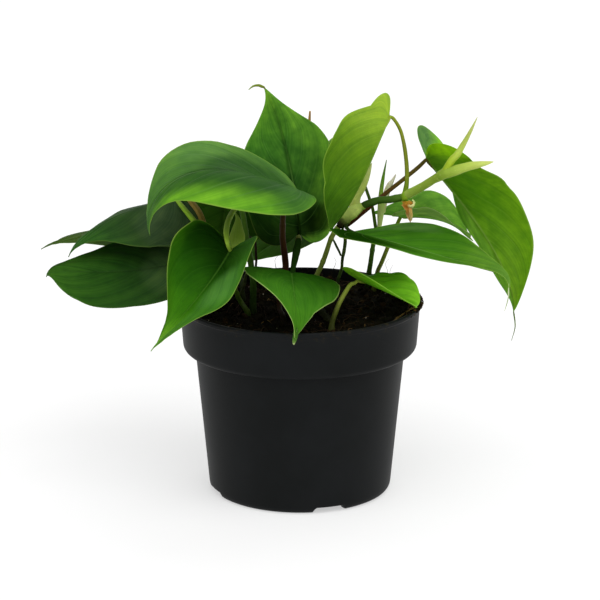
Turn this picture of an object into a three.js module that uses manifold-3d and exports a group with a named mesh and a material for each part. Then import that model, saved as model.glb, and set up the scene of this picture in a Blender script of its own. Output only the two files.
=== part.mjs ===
// Potted heart-leaf climbing plant in a round tapered pot. Millimetres, Z up, origin at the centre of the pot's base.
import * as THREE from 'three';
import Module from 'manifold-3d';

// ---- driving dimensions ----
const RIM_DIAMETER = 120;        // outside of the lip
const POT_HEIGHT = 96.4;
const COLLAR_TOP_RADIUS = 59;
const COLLAR_BOTTOM_RADIUS = 57.5;
const COLLAR_BOTTOM = 72;        // where the collar meets the body
const BODY_TOP_RADIUS = 51.8;
const BODY_BOTTOM_RADIUS = 44.9;
const WALL = 1.2;
const FLOOR = 1.4;
const CHANNELS = 4;              // drainage channels under the floor
const CHANNEL_AZIMUTH = -70.5;   // degrees, first one
const CHANNEL_WIDTH = 15;
const CHANNEL_HEIGHT = 2.5;
const CHANNEL_INNER = 24;
const HOLE_DIAMETER = 7;
const HOLE_RADIUS = 33;          // distance of a drain hole from the axis
const SOIL_LEVEL = 90.2;
const GAP = 0.3;                 // between pieces that touch
const BLADE = 0.8;               // leaf blade thickness
const SHEATH = 0.6;
const SEGMENTS = 44;

// ---- leaf blades ----
// One side of a flat heart leaf of unit length: out from the midrib, along it, and where that row leaves the midrib.
const MARGIN = [
  [0.000, 0.000, 0.000], [0.050, -0.085, 0.000], [0.130, -0.165, 0.000], [0.235, -0.185, 0.000], [0.335, -0.130, 0.004],
  [0.400, -0.020, 0.020], [0.425, 0.115, 0.055], [0.412, 0.260, 0.120], [0.365, 0.405, 0.215], [0.290, 0.550, 0.340],
  [0.200, 0.680, 0.490], [0.120, 0.785, 0.640], [0.060, 0.870, 0.775], [0.025, 0.935, 0.885], [0.000, 1.000, 1.000]];
const KEYS = ['X', 'Y', 'Z', 'az', 'el', 'roll', 'L', 'lobe', 'd1', 'd2', 's1', 's2', 't1', 't2', 'fR0', 'fR1', 'fL0', 'fL1',
  'cR', 'cL', 'mR0', 'mR1', 'mR2', 'mR3', 'mL0', 'mL1', 'mL2', 'mL3', 'wa', 'wn', 'wp', 'tipk'];
// base position; azimuth, elevation and roll; length; lobe scale; droop, sweep and twist along the midrib;
// fold and cup of the right and left halves; widths; margin wave; tip bend
const LEAVES = {
  leaf_01: [-4.76, -18.62, 155.63, 183.88, 27.63, -11.44, 90.31, 0.57, 10.59, 119, -5.04, 10.35, 24.3, -3.34, -4.85, 0.78, 22.66, -5.13, 35.33, -68.85, 1, 0.95, 1.15, 0.62, 1.09, 1.1, 1.08, 0.88, -1.21, 1.28, 0.15, 4.78],
  leaf_02: [-0.66, 34.04, 121.84, 109.71, 75.28, 162.74, 74.79, 0.44, -6.8, 3.58, 13.75, 2.31, 22.26, 6.86, -3.25, 10.95, 22.75, -1.06, -10.45, -6.29, 0.95, 0.97, 1.18, 1.04, 0.96, 1.01, 1.22, 0.89, -0.48, 1.49, -0.08, -30.25],
  leaf_03: [43.26, 1.89, 188.19, -134.78, -54.58, -69.93, 64.08, 0.77, 7.26, -37.27, 18.04, 9.69, -1.24, -1.59, 51.09, 48, 50.31, 48.25, -8.5, -28.53, 1, 1, 1, 1, 0.45, 1.05, 1.24, 2.26, -1.96, 2.29, 0.83, 12.46],
  leaf_04: [1.04, 55.97, 117.89, 146.83, -26.43, -23.53, 42.21, 1, 12.13, 5.14, 1.3, 0.13, -15, -8.08, 5.95, -4.56, 8, 5, -13.96, -12, 1, 1, 0.98, 1.1, 1, 1, 1, 1, -0.1, 1.49, -0.01, -15.31],
  leaf_05: [62.73, 21.7, 162.35, 8, -52.86, 34.05, 91.5, 0.6, -11.45, 46.01, 11, -11.96, -5.2, 16.86, -15.71, 23.8, 50.86, 1.43, 11.78, 1.59, 1.2, 0.92, 1.24, 1.39, 0.94, 1.01, 0.92, 1.19, -3.76, 1.77, 0.94, 22.97],
  leaf_06: [27.31, -7.16, 132.38, -17.65, -9.52, 23.11, 85.61, 0.61, 11.03, -12.8, 9.29, -1.16, -34.47, 0.53, -11.8, 25.33, -2.49, 22.91, -1.18, 27.57, 0.87, 0.87, 1.03, 0.71, 1.07, 1.02, 0.85, 0.77, -0.56, 1.79, 1.73, 92.91],
  leaf_07: [50.76, 48.25, 126.03, 29.18, -4.37, -12.78, 55.65, 0.98, 28, 23.33, -8.76, -3.7, -18.32, -10.21, 28.37, 17.76, -1.89, 31.73, 5.14, -15.19, 1.03, 1, 1.01, 1.03, 0.87, 0.91, 1.38, 0.65, -3.23, 0.96, -1.04, -20.75],
  leaf_08: [-3.87, -16.96, 114.6, -91.54, 11.63, 11.96, 61.2, 1.01, 27.25, 52.71, -21.21, -9.2, 22.56, 23.76, 6.7, 7.84, 4.08, 8, -36.53, -20.96, 1.03, 1, 1.22, 1.05, 0.97, 0.92, 0.89, 1.35, 1.81, 1.27, 0.3, 25.02],
  leaf_09: [-33.56, -29.98, 129.35, -125.52, -41.88, 8.88, 65.59, 0.42, -22.73, 23.81, 20.02, -3.71, -15.81, -32.21, 41.1, -11.17, 29.7, -10.39, 35.37, 10.34, 1.06, 0.79, 0.72, 0.9, 0.96, 0.86, 1.06, 1.41, 6.03, 1.17, -0.8, 11.7],
  leaf_10: [-60.8, 18.25, 142.08, -171.11, -6.3, 4.23, 63, 0.92, 18.6, 29.16, -2.46, -1.5, -9.73, 5.65, -8.34, -7.16, -20.41, -6.3, -18.42, -30.62, 0.93, 1.01, 0.95, 1.11, 0.99, 1.13, 1.02, 0.99, -1.56, 1.79, -0.45, 15.89],
  leaf_11: [-75.88, 52.09, 119.97, -179.93, -2.37, -8.3, 57.08, 1, 5.88, 19.01, -1.14, -0.74, 3.23, 2.09, 0.12, 0.47, -4.16, -1.66, -23.37, -26.31, 1, 1, 1.01, 1, 1, 1.02, 1.03, 0.96, 0.06, 1.47, -0.05, 4.11],
  leaf_12: [-59.11, -0.62, 115.41, 186.17, -11.36, 11.69, 70.86, 1, -10.69, 2.16, 21.51, 11.8, 13.82, 10.76, 10.6, 1.84, 4.34, -8.09, -8.27, -10.24, 1, 1.03, 0.88, 0.95, 1, 1.04, 1.2, 1.66, -0.75, 1.28, -0.76, 81.81],
  leaf_13: [28.27, -23.67, 113.2, -33.22, -13.86, -54.9, 35.65, 0.95, 14.27, 61.6, -8.69, 0.22, -7.93, 13.12, 85, 68.2, -56.79, 38.45, 22.13, -13.29, 0.99, 0.99, 1.08, 1, 0.84, 0.83, 1.4, 2.78, -2.41, 1.45, 1.68, 68.16],
  leaf_14: [26.27, 44.07, 160.82, -129.15, -52.84, 5.97, 24.12, 1.01, 22.88, 25.34, 4.68, 1.51, -0.39, -0, 27.69, 4.97, 20, 5, 9.46, 5, 1.22, 1, 1, 1, 1, 1, 1, 1, -1.91, 1.49, -1.11, 8.04],
  leaf_15: [-37.33, 46, 134.25, -160, -82.72, 70, 39.1, 1, 0, 0, 0, 0, 0, 0, 6, 4, 6, 4, -8, -8, 1.43, 1.43, 1.25, 1, 1.43, 1.43, 1.25, 1, 0, 1.5, 0, 0],
};
const LEAF_COLOUR = { leaf_01: 0x4f8a2c, leaf_02: 0x2f6f22, leaf_03: 0x86ad2b, leaf_04: 0x24551c, leaf_05: 0x5e8a22, leaf_06: 0x2f6f22, leaf_07: 0x3f7a26, leaf_08: 0x3a8228, leaf_09: 0x357a24, leaf_10: 0x1f4a1e, leaf_11: 0x1e4420, leaf_12: 0x1f4a1e, leaf_13: 0x6ba32c, leaf_14: 0x5c8f2a, leaf_15: 0x1f4a1e };

// ---- stalks, stems, roots, shoots: centre line and radius at each point ----
const TUBES = {
  petiole_15: { at: [[-28.44,19.87,91.6],[-28.99,24.0,94.84],[-29.97,38.5,99.63],[-31.9,50.0,108.0],[-34.45,54.0,119.51],[-37.29,47.32,134.59]], r: [1.15,1.1,1.05,1.0,0.9,0.65], colour: 0x2c5a1e },
  stem_left: { at: [[-23.28,0.25,90.97],[-23.19,3.0,97.19],[-23.16,3.0,105.39],[-24.57,2.0,116.9],[-26.45,0.0,129.12],[-27.82,-3.0,140.01],[-28.66,-4.0,143.69]], r: [1.75,1.6,1.55,1.5,1.45,1.4,1.4], colour: 0x35601f },
  petiole_09: { at: [[-30.4,-6.5,145.94],[-32.19,-10.2,144.03],[-33.99,-15.0,142.11],[-35.28,-21.5,139.31],[-35.43,-28.2,136.85],[-34.64,-32.6,133.8],[-33.79,-30.81,131.15]], r: [1.3,1.35,1.4,1.4,1.35,1.2,0.7], colour: 0x93a83a },
  petiole_10: { at: [[-26.19,-2.96,91.28],[-29.71,3.0,95.14],[-34.9,0.0,108.27],[-40.66,-2.0,120.53],[-46.0,-1.5,129.01],[-51.06,2.2,134.52],[-55.1,7.0,138.24],[-58.33,11.5,140.94],[-60.79,18.11,143.99]], r: [1.25,1.25,1.25,1.25,1.3,1.35,1.3,1.15,0.7], colour: 0x6f9c2e },
  petiole_11: { at: [[-39.05,25.3,90.97],[-41.19,15.0,104.61],[-43.36,7.0,118.6],[-45.44,4.5,127.42],[-47.34,4.0,134.15],[-49.82,6.3,139.38],[-52.56,8.5,142.62],[-55.36,12.5,145.4],[-58.35,21.0,147.08],[-62.39,36.0,144.87],[-68.06,51.0,137.5],[-73.41,55.0,126.58],[-74.95,52.32,121.59]], r: [1.7,1.65,1.6,1.55,1.5,1.5,1.45,1.4,1.3,1.2,1.1,1.0,0.7], colour: 0x5a3a26 },
  petiole_12: { at: [[-40.34,16.35,91.06],[-41.74,14.0,94.57],[-44.93,6.0,104.04],[-50.17,2.0,111.8],[-58.08,-0.21,114.13]], r: [1.3,1.25,1.2,1.1,0.7], colour: 0x2c5a1e },
  petiole_01: { at: [[-8.46,-14.62,92.03],[-10.08,-4.0,93.06],[-10.34,0.0,97.54],[-8.62,3.0,104.37],[-7.14,4.0,110.74],[-7.47,2.0,117.92],[-8.41,-3.0,126.88],[-8.47,-9.0,136.04],[-7.99,-15.0,145.11],[-6.27,-19.0,152.12],[-5.29,-18.98,154.15]], r: [1.2,1.25,1.35,1.5,1.6,1.6,1.5,1.4,1.25,1.1,0.7], colour: 0x5a3a26 },
  stem_back: { at: [[-5.01,27.12,91.26],[-4.25,24.0,99.51],[-2.73,18.0,110.47],[-1.38,13.0,120.05]], r: [1.3,1.2,1.15,1.1], colour: 0x35601f },
  petiole_08: { at: [[-1.08,5.5,122.83],[-1.67,0.0,121.26],[-2.54,-8.0,118.61],[-3.31,-13.5,116.33],[-3.75,-13.79,114.15]], r: [1.5,1.95,1.6,1.3,0.75], colour: 0x2c5a1e },
  petiole_02: { at: [[-5.58,46.56,90.41],[-3.78,41.0,101.03],[-2.41,38.0,111.24],[0.45,32.53,121.79]], r: [1.0,0.95,0.95,0.7], colour: 0x2c5a1e },
  petiole_04: { at: [[-5.08,50.52,90.61],[-3.66,53.0,98.77],[-2.03,56.0,107.96],[1.58,55.0,117.05]], r: [1.0,0.95,0.9,0.7], colour: 0x2c5a1e },
  leaf_rolled_top: { at: [[1.28,66.0,114.26],[2.55,68.0,129.55],[3.86,67.0,155.96],[4.7,66.0,170.22],[5.05,65.5,176.33]], r: [1.3,1.5,1.2,0.75,0.45], colour: 0xa8763a },
  stem_center: { at: [[2.99,16.86,90.29],[5.22,14.0,96.64],[8.42,12.0,105.44],[10.87,10.0,111.64],[13.07,8.5,118.19],[14.43,7.0,123.19],[15.74,6.0,126.77],[18.17,5.0,131.1]], r: [1.35,1.3,1.25,1.25,1.25,1.2,1.25,1.4], colour: 0x93a83a },
  stem_right: { at: [[31.57,3.0,143.51],[34.73,2.5,144.9],[39.11,2.0,146.29],[43.97,1.0,146.8],[47.85,0.3,147.68]], r: [1.75,1.8,1.8,1.8,1.9], colour: 0x35601f },
  petiole_03: { at: [[51.4,0.5,150.95],[52.1,1.0,155.6],[52.07,2.0,162.38],[51.15,3.0,171.15],[49.54,3.5,179.03],[47.65,3.5,183.51],[45.42,3.0,186.81],[44.39,1.09,187.66]], r: [1.35,1.15,1.05,1.0,0.95,0.95,0.9,0.65], colour: 0x93a83a },
  petiole_05: { at: [[22.89,9.0,131.72],[26.33,9.5,134.14],[29.72,10.0,136.9],[32.97,10.5,139.57],[41.3,13.0,146.19],[50.91,17.0,152.95],[58.48,21.0,158.26],[61.57,20.75,162.13]], r: [1.15,1.2,1.15,1.15,1.1,1.05,1.05,0.7], colour: 0x5a3a26 },
  shoot_right: { at: [[53.81,-1.8,150.97],[56.2,-4.2,152.88],[60.16,-8.0,156.13],[64.8,-12.0,160.31],[68.27,-15.0,162.94]], r: [2.35,2.25,2.1,2.15,2.55], colour: 0xa4bf4c },
  spike_upper: { at: [[72.73,-17.7,170.54],[75.52,-18.9,174.08],[77.8,-20.2,178.53],[80.76,-21.6,184.56],[82.89,-22.5,189.33],[84.67,-23.0,193.36]], r: [1.85,1.7,1.4,0.95,0.58,0.15], colour: 0xa4bf4c },
  spike_lower: { at: [[70.72,-17.0,164.57],[75.04,-19.0,166.35],[78.79,-20.5,168.05],[82.57,-21.5,169.23],[86.34,-22.5,170.16],[90.12,-23.2,171.07],[92.59,-23.5,171.64]], r: [2.7,2.5,2.2,2.0,1.55,0.9,0.2], colour: 0xa4bf4c },
  stem_middle: { at: [[33.86,41.26,90.06],[34.8,40.5,98.55],[35.95,40.0,107.05],[36.94,39.0,114.62],[38.13,38.0,120.86]], r: [1.3,1.25,1.2,1.15,1.15], colour: 0x35601f },
  petiole_14: { at: [[37.71,38.0,124.33],[36.32,39.0,132.77],[34.31,40.0,138.71],[31.55,42.0,146.47],[28.54,44.0,154.22],[26.97,45.12,160.5]], r: [0.9,0.8,0.8,0.75,0.7,0.55], colour: 0x2c5a1e },
  leaf_rolled_back: { at: [[39.72,36.0,123.98],[40.23,36.0,129.41],[40.59,35.5,134.7],[40.52,35.0,142.03],[41.52,35.0,149.74],[43.05,35.0,158.45]], r: [1.1,1.6,1.8,1.15,0.8,0.2], colour: 0xa4bf4c },
  petiole_07: { at: [[37.25,39.24,90.11],[39.01,41.5,98.54],[41.37,42.5,104.02],[44.13,44.0,110.67],[47.16,46.0,117.7],[50.17,48.28,124.69]], r: [1.2,1.15,1.1,1.05,1.0,0.7], colour: 0x93a83a },
  petiole_13: { at: [[15.27,-28.71,90.31],[15.61,-27.5,92.44],[16.72,-26.5,96.03],[18.9,-25.5,101.5],[21.55,-25.0,106.39],[24.4,-24.6,110.81],[26.53,-24.3,111.53],[27.02,-23.6,111.73]], r: [1.5,1.3,1.25,1.2,1.15,1.1,0.9,0.5], colour: 0x93a83a },
  petiole_06: { at: [[22.73,1.6,132.65],[23.2,-1.4,132.75],[24.0,-4.3,132.8],[24.61,-6.11,133.29]], r: [1.0,0.85,0.7,0.45], colour: 0x2c5a1e },
  root_a: { at: [[16.55,7.5,124.33],[17.88,7.5,121.63],[19.42,7.6,118.44],[20.02,8.0,116.69]], r: [0.5,0.6,0.55,0.5], colour: 0x4a3a26 },
  root_b: { at: [[20.91,4.2,130.8],[21.71,-2.5,130.29],[22.13,-1.5,126.48],[21.73,4.0,120.43],[20.95,10.0,114.2],[20.68,15.0,108.21],[19.4,18.5,102.6],[18.45,21.0,97.24],[17.75,22.95,90.74]], r: [0.6,0.75,0.9,0.95,0.8,0.72,0.8,0.75,0.65], colour: 0x4a3a26 },
  root_left: { at: [[-26.14,6.0,108.9],[-27.42,10.0,102.92],[-28.66,14.0,96.84],[-32.8,18.37,90.91]], r: [0.55,0.85,0.8,0.5], colour: 0x8d9a78 },
  root_thin: { at: [[-22.56,22.0,120.71],[-21.94,22.0,114.54],[-21.82,22.5,109.24],[-22.72,24.0,99.51],[-23.02,25.12,91.06]], r: [0.55,0.6,0.6,0.55,0.5], colour: 0x4a3a26 },
  straw: { at: [[40.97,-27.8,91.1],[45.12,-25.99,92.6],[50.71,-17.6,94.2],[54.01,-13.16,95.3]], r: [0.4,0.42,0.4,0.3], colour: 0xb79a5a },
  tip_02: { at: [[-19.0,50.17,192.46],[-20.72,50.5,193.04],[-23.46,50.0,192.69],[-25.6,49.0,191.13]], r: [0.75,0.7,0.5,0.2], colour: 0x93a83a },
  tip_05: { at: [[106.6,16.24,84.24],[107.22,16.0,80.0],[107.19,16.0,76.36],[105.58,15.0,70.67]], r: [0.65,0.5,0.4,0.2], colour: 0x93a83a },
  tip_06: { at: [[99.97,-40.06,111.39],[99.93,-40.5,109.11],[99.19,-41.0,105.76],[98.15,-41.0,102.26]], r: [0.75,0.55,0.4,0.2], colour: 0x93a83a },
  node_center: { at: [[19.63,4.5,132.75],[21.83,4.0,135.42],[24.75,3.6,138.81],[27.67,3.3,141.16],[30.11,3.1,142.63]], r: [1.9,2.6,3.0,2.6,1.95], colour: 0x4a3426 },
};
const NODES = {
  node_left: { at: [-29.23,-4.0,146.31], axis: [0.1855,0.0,-0.9826], r: [1.9,1.9,2.3] },
  node_back: { at: [-0.74,12.0,123.89], axis: [-0.1328,0.0,-0.9911], r: [1.5,1.5,2.2] },
  node_right: { at: [50.77,0.0,148.31], axis: [0.3545,0.0,0.935], r: [2.1,2.1,2.4] },
};
// ---- thin sheets: left edge, right edge and bulge at each station ----
const SHEETS = {
  sheath_back: { bulge: [0, -1, 0], at: [[[41.34,40.5,129.8],[42.75,40.5,130.11],0.3],[[41.21,40.5,134.97],[43.81,40.5,135.7],1.0],[[41.87,40.6,140.37],[45.47,40.6,141.66],1.2],[[43.55,40.8,144.7],[47.04,40.8,146.25],0.9],[[45.94,41.0,147.33],[48.02,41.0,148.98],0.5],[[47.52,41.0,149.5],[47.87,41.0,149.81],0.05]] },
  sheath_center: { bulge: [0, -1, 0], at: [[[24.11,11.0,140.45],[29.62,11.0,141.47],2.6],[[24.35,11.5,144.39],[29.81,11.5,144.89],3.0],[[26.3,12.0,148.82],[31.96,12.0,148.82],2.6],[[29.24,12.5,154.01],[33.91,12.5,154.01],1.9],[[32.17,13.0,158.44],[34.87,13.0,158.44],1.0],[[35.05,13.3,162.15],[35.45,13.3,162.15],0.1]] },
  sheath_left: { bulge: [0, -1, 0], at: [[[-31.73,-7.0,142.05],[-31.14,-7.0,142.25],0.1],[[-31.36,-9.0,139.3],[-29.03,-9.0,139.55],0.9],[[-33.02,-12.5,135.45],[-27.68,-12.5,135.7],1.6],[[-34.42,-16.0,132.11],[-26.66,-16.0,132.46],1.7],[[-34.39,-18.5,129.27],[-27.36,-18.5,130.27],1.3],[[-33.6,-19.5,127.03],[-30.02,-19.5,127.03],0.8],[[-32.53,-20.5,125.29],[-31.75,-20.5,125.29],0.1]] },
  sheath_dried: { bulge: [0, -1, 0], at: [[[49.69,-3.8,147.16],[53.29,-3.8,147.46],0.9],[[49.89,-4.2,145.45],[55.53,-4.2,146.16],0.8],[[51.18,-4.0,143.29],[54.59,-4.0,143.69],0.6],[[52.39,-3.6,140.17],[54.73,-3.6,140.37],0.4],[[53.51,-3.2,136.33],[54.19,-3.2,136.33],0.1]] },
  dead_leaf: { bulge: [0, 0, 1], at: [[[7.88,-1.34,91.75],[8.28,-0.02,91.78],0.0],[[8.35,-5.91,91.24],[11.1,1.52,91.59],0.6],[[10.52,-13.48,90.9],[13.52,-4.43,91.26],0.8],[[12.91,-19.51,90.94],[14.91,-13.76,91.44],0.5],[[14.85,-20.79,90.91],[15.25,-19.77,91.01],0.0]] },
};

const rad = (a) => a * Math.PI / 180;
const add = (a, b) => [a[0] + b[0], a[1] + b[1], a[2] + b[2]];
const sub = (a, b) => [a[0] - b[0], a[1] - b[1], a[2] - b[2]];
const mul = (a, k) => [a[0] * k, a[1] * k, a[2] * k];
const dot = (a, b) => a[0] * b[0] + a[1] * b[1] + a[2] * b[2];
const cross = (a, b) => [a[1] * b[2] - a[2] * b[1], a[2] * b[0] - a[0] * b[2], a[0] * b[1] - a[1] * b[0]];
const unit = (a) => mul(a, 1 / (Math.hypot(...a) || 1));
const lerp = (x, xs, ys) => {
  if (x <= xs[0]) return ys[0];
  for (let i = 1; i < xs.length; i++) if (x <= xs[i]) return ys[i - 1] + (ys[i] - ys[i - 1]) * (x - xs[i - 1]) / (xs[i] - xs[i - 1]);
  return ys[ys.length - 1];
};
function curve(pts, t) {
  const n = pts.length - 1; t = Math.min(Math.max(t, 0), n);
  const i = Math.min(Math.floor(t), n - 1), f = t - i;
  const P = (k) => k < 0 ? pts[0].map((v, a) => 2 * v - pts[1][a]) : k > n ? pts[n].map((v, a) => 2 * v - pts[n - 1][a]) : pts[k];
  const [p0, p1, p2, p3] = [P(i - 1), P(i), P(i + 1), P(i + 2)];
  return p1.map((_, a) => 0.5 * (2 * p1[a] + (p2[a] - p0[a]) * f + (2 * p0[a] - 5 * p1[a] + 4 * p2[a] - p3[a]) * f * f + (-p0[a] + 3 * p1[a] - 3 * p2[a] + p3[a]) * f * f * f));
}

// closed thin solid about a sheet given by vertices and triangles; t is one thickness, or one for each vertex
function thicken(verts, faces, t) {
  const nrm = verts.map(() => [0, 0, 0]);
  for (const [a, b, c] of faces) {
    const n = cross(sub(verts[b], verts[a]), sub(verts[c], verts[a]));
    for (const k of [a, b, c]) nrm[k] = add(nrm[k], n);
  }
  const N = verts.length, out = [];
  for (let s = 0; s < 2; s++) verts.forEach((v, i) => out.push(add(v, mul(unit(nrm[i]), (s ? -0.5 : 0.5) * (Array.isArray(t) ? t[i] : t)))));
  const tri = [], edges = new Map();
  for (const [a, b, c] of faces) {
    tri.push([a, b, c], [a + N, c + N, b + N]);
    for (const [p, q] of [[a, b], [b, c], [c, a]]) edges.set(p + ',' + q, [p, q]);
  }
  for (const [p, q] of edges.values()) if (!edges.has(q + ',' + p)) tri.push([q, p, p + N], [q, p + N, q + N]);
  return solid(out, tri);
}
function solid(verts, tri) {
  // join coincident corners, drop empty triangles, face outward
  const key = new Map(), map = [], v = [];
  verts.forEach((p, i) => {
    const k = p.map((c) => Math.round(c * 500)).join();
    if (!key.has(k)) { key.set(k, v.length); v.push(p); }
    map[i] = key.get(k);
  });
  let idx = tri.map((f) => f.map((i) => map[i])).filter(([a, b, c]) => a !== b && b !== c && a !== c);
  let vol = 0;
  for (const [a, b, c] of idx) vol += dot(v[a], cross(v[b], v[c]));
  if (vol < 0) idx = idx.map(([a, b, c]) => [a, c, b]);
  const g = new THREE.BufferGeometry();
  g.setAttribute('position', new THREE.Float32BufferAttribute(v.flat(), 3));
  g.setIndex(idx.flat());
  return g;
}

function leafFrames(p, n = 41) {
  const az = rad(p.az), el = rad(p.el), ro = rad(p.roll);
  const T0 = [Math.cos(el) * Math.cos(az), Math.cos(el) * Math.sin(az), Math.sin(el)];
  const H = [Math.sin(az), -Math.cos(az), 0], Nu = cross(H, T0);
  const B0 = add(mul(H, Math.cos(ro)), mul(Nu, Math.sin(ro))), N0 = sub(mul(Nu, Math.cos(ro)), mul(H, Math.sin(ro)));
  const world = (a) => add(add(mul(B0, a[0]), mul(T0, a[1])), mul(N0, a[2]));
  const ys = [];
  for (let i = 0; i < 8; i++) ys.push(-0.25 + 0.25 * i / 8);
  for (let i = 0; i < n; i++) ys.push(i / (n - 1));
  const d = [], b = [], m = [];
  for (const y of ys) {
    const u = Math.max(y, 0);
    const th = rad(p.d1 * y + p.d2 * u * u + p.tipk * Math.max(y - 0.8, 0) ** 2 * 25);
    const ps = rad(p.s1 * y + p.s2 * u * u), ph = rad(p.t1 * y + p.t2 * u * u);
    const dd = [Math.sin(ps) * Math.cos(th), Math.cos(ps) * Math.cos(th), -Math.sin(th)];
    const n0 = [Math.sin(ps) * Math.sin(th), Math.cos(ps) * Math.sin(th), Math.cos(th)], b0 = cross(dd, n0);
    d.push(world(dd));
    b.push(world(add(mul(b0, Math.cos(ph)), mul(n0, Math.sin(ph)))));
    m.push(world(sub(mul(n0, Math.cos(ph)), mul(b0, Math.sin(ph)))));
  }
  const C = [[0, 0, 0]];
  for (let i = 1; i < ys.length; i++) C.push(add(C[i - 1], mul(add(d[i], d[i - 1]), (ys[i] - ys[i - 1]) / 2 * p.L)));
  const o = sub([p.X, p.Y, p.Z], C[8]);
  return { ys, C: C.map((c) => add(c, o)), b, m };
}
function leafPoint(p, fr, x, y, side) {
  const s = side > 0 ? 'R' : 'L';
  const w = lerp(y, [-0.2, 0, 0.33, 0.66, 0.95], [p['m' + s + '0'], p['m' + s + '0'], p['m' + s + '1'], p['m' + s + '2'], p['m' + s + '3']]);
  if (y < 0) y *= p.lobe;
  const a = x * w * p.L, yc = Math.min(Math.max(y, 0), 1);
  const f = rad(p['f' + s + '0'] + (p['f' + s + '1'] - p['f' + s + '0']) * yc);
  let k = rad(p['c' + s]) / (0.43 * p.L);
  if (Math.abs(k) < 1e-6) k = 1e-6;
  const ob = (Math.sin(f + k * a) - Math.sin(f)) / k;
  const on = (Math.cos(f) - Math.cos(f + k * a)) / k + p.wa * Math.sin(2 * Math.PI * p.wn * yc + p.wp + (side > 0 ? 0 : 2)) * (x / 0.42) ** 2;
  const at = (A) => [0, 1, 2].map((i) => lerp(y, fr.ys, A.map((v) => v[i])));
  return add(at(fr.C), add(mul(at(fr.b), ob * side), mul(at(fr.m), on)));
}
function leaf(v) {
  const p = Object.fromEntries(KEYS.map((k, i) => [k, v[i]])), fr = leafFrames(p);
  const rows = [1, 2, 3, 4, 5, 6, 7, 8, 9, 10, 11, 12.3, 14], across = [0, 0.3, 0.65, 1];
  const verts = [], faces = [];
  const push = (q) => {
    for (let i = 0; i < verts.length; i++) if (Math.hypot(...sub(verts[i], q)) < 0.004) return i;
    return verts.push(q) - 1;
  };
  for (const side of [1, -1]) {
    const id = rows.map((t) => {
      const [ex, ey, ym] = curve(MARGIN, t);
      return across.map((s) => push(leafPoint(p, fr, Math.max(ex, 0) * s, ym + (ey - ym) * s, side)));
    });
    for (let i = 1; i < rows.length; i++) for (let k = 1; k < across.length; k++) {
      const [a, b, c, d] = [id[i - 1][k - 1], id[i - 1][k], id[i][k], id[i][k - 1]];
      const q = side > 0 ? [[a, b, c], [a, c, d]] : [[a, c, b], [a, d, c]];
      for (const f of q) if (f[0] !== f[1] && f[1] !== f[2] && f[0] !== f[2]) faces.push(f);
    }
  }
  return thicken(verts, faces, BLADE);
}
function tube(t, sides = t.r[1] < 0.9 ? 6 : 8) {
  const n0 = t.at.length - 1;
  let len = 0;
  for (let i = 1; i <= n0; i++) len += Math.hypot(...sub(t.at[i], t.at[i - 1]));
  const n = Math.max(4, Math.ceil(len / 9) + 2), C = [], R = [];
  for (let i = 0; i < n; i++) {
    const s = n0 * i / (n - 1);
    C.push(curve(t.at, s)); R.push(lerp(s, t.r.map((_, k) => k), t.r));
  }
  const verts = [], tri = [];
  let u = null;
  C.forEach((c, i) => {
    const T = unit(sub(C[Math.min(i + 1, n - 1)], C[Math.max(i - 1, 0)]));
    u = unit(u ? sub(u, mul(T, dot(u, T))) : cross(T, [0.3, 0.5, 0.81]));
    const w = cross(T, u);
    for (let k = 0; k < sides; k++) {
      const a = 2 * Math.PI * k / sides;
      verts.push(add(c, add(mul(u, R[i] * Math.cos(a)), mul(w, R[i] * Math.sin(a)))));
    }
  });
  for (let i = 1; i < n; i++) for (let k = 0; k < sides; k++) {
    const a = (i - 1) * sides + k, b = (i - 1) * sides + (k + 1) % sides;
    tri.push([a, b, b + sides], [a, b + sides, a + sides]);
  }
  const e = (n - 1) * sides;
  for (let k = 1; k < sides - 1; k++) tri.push([0, k + 1, k], [e, e + k, e + k + 1]);
  return solid(verts, tri);
}
function node(b) {
  const a = unit(b.axis), u = unit(cross(a, [0, 1, 0])), w = cross(a, u), rings = 7, sides = 10, verts = [], tri = [];
  for (let i = 0; i <= rings; i++) for (let k = 0; k < sides; k++) {
    const th = Math.PI * i / rings, ph = 2 * Math.PI * k / sides;
    verts.push(add(b.at, add(add(mul(u, b.r[0] * Math.sin(th) * Math.cos(ph)), mul(w, b.r[1] * Math.sin(th) * Math.sin(ph))), mul(a, b.r[2] * Math.cos(th)))));
  }
  for (let i = 1; i <= rings; i++) for (let k = 0; k < sides; k++) {
    const p = (i - 1) * sides + k, q = (i - 1) * sides + (k + 1) % sides;
    tri.push([p, q, q + sides], [p, q + sides, p + sides]);
  }
  return solid(verts, tri);
}
function sheet(s) {
  const n = 9, m = 5, verts = [], faces = [], thick = [];
  for (let i = 0; i < n; i++) {
    const t = (s.at.length - 1) * i / (n - 1), A = curve(s.at.map((q) => q[0]), t), B = curve(s.at.map((q) => q[1]), t);
    const g = lerp(t, s.at.map((_, k) => k), s.at.map((q) => q[2]));
    const w = Math.hypot(...sub(B, A));   // thins out towards a narrow end
    for (let k = 0; k < m; k++) {
      const v = k / (m - 1);
      verts.push(add(add(mul(A, 1 - v), mul(B, v)), mul(s.bulge, g * (1 - (2 * v - 1) ** 2))));
      thick.push(SHEATH * Math.min(1, 0.08 + w / 3));
    }
  }
  for (let i = 1; i < n; i++) for (let k = 1; k < m; k++) {
    const a = (i - 1) * m + k - 1;
    faces.push([a, a + 1, a + m + 1], [a, a + m + 1, a + m]);
  }
  return thicken(verts, faces, thick);
}
const soilTop = (x, y) => SOIL_LEVEL - 0.9 * (x * x + y * y) / 3364 + 0.8 * Math.sin(0.11 * x + 0.7) * Math.cos(0.13 * y + 0.4) + 0.45 * Math.sin(0.23 * x - 0.19 * y + 1.1);

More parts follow.
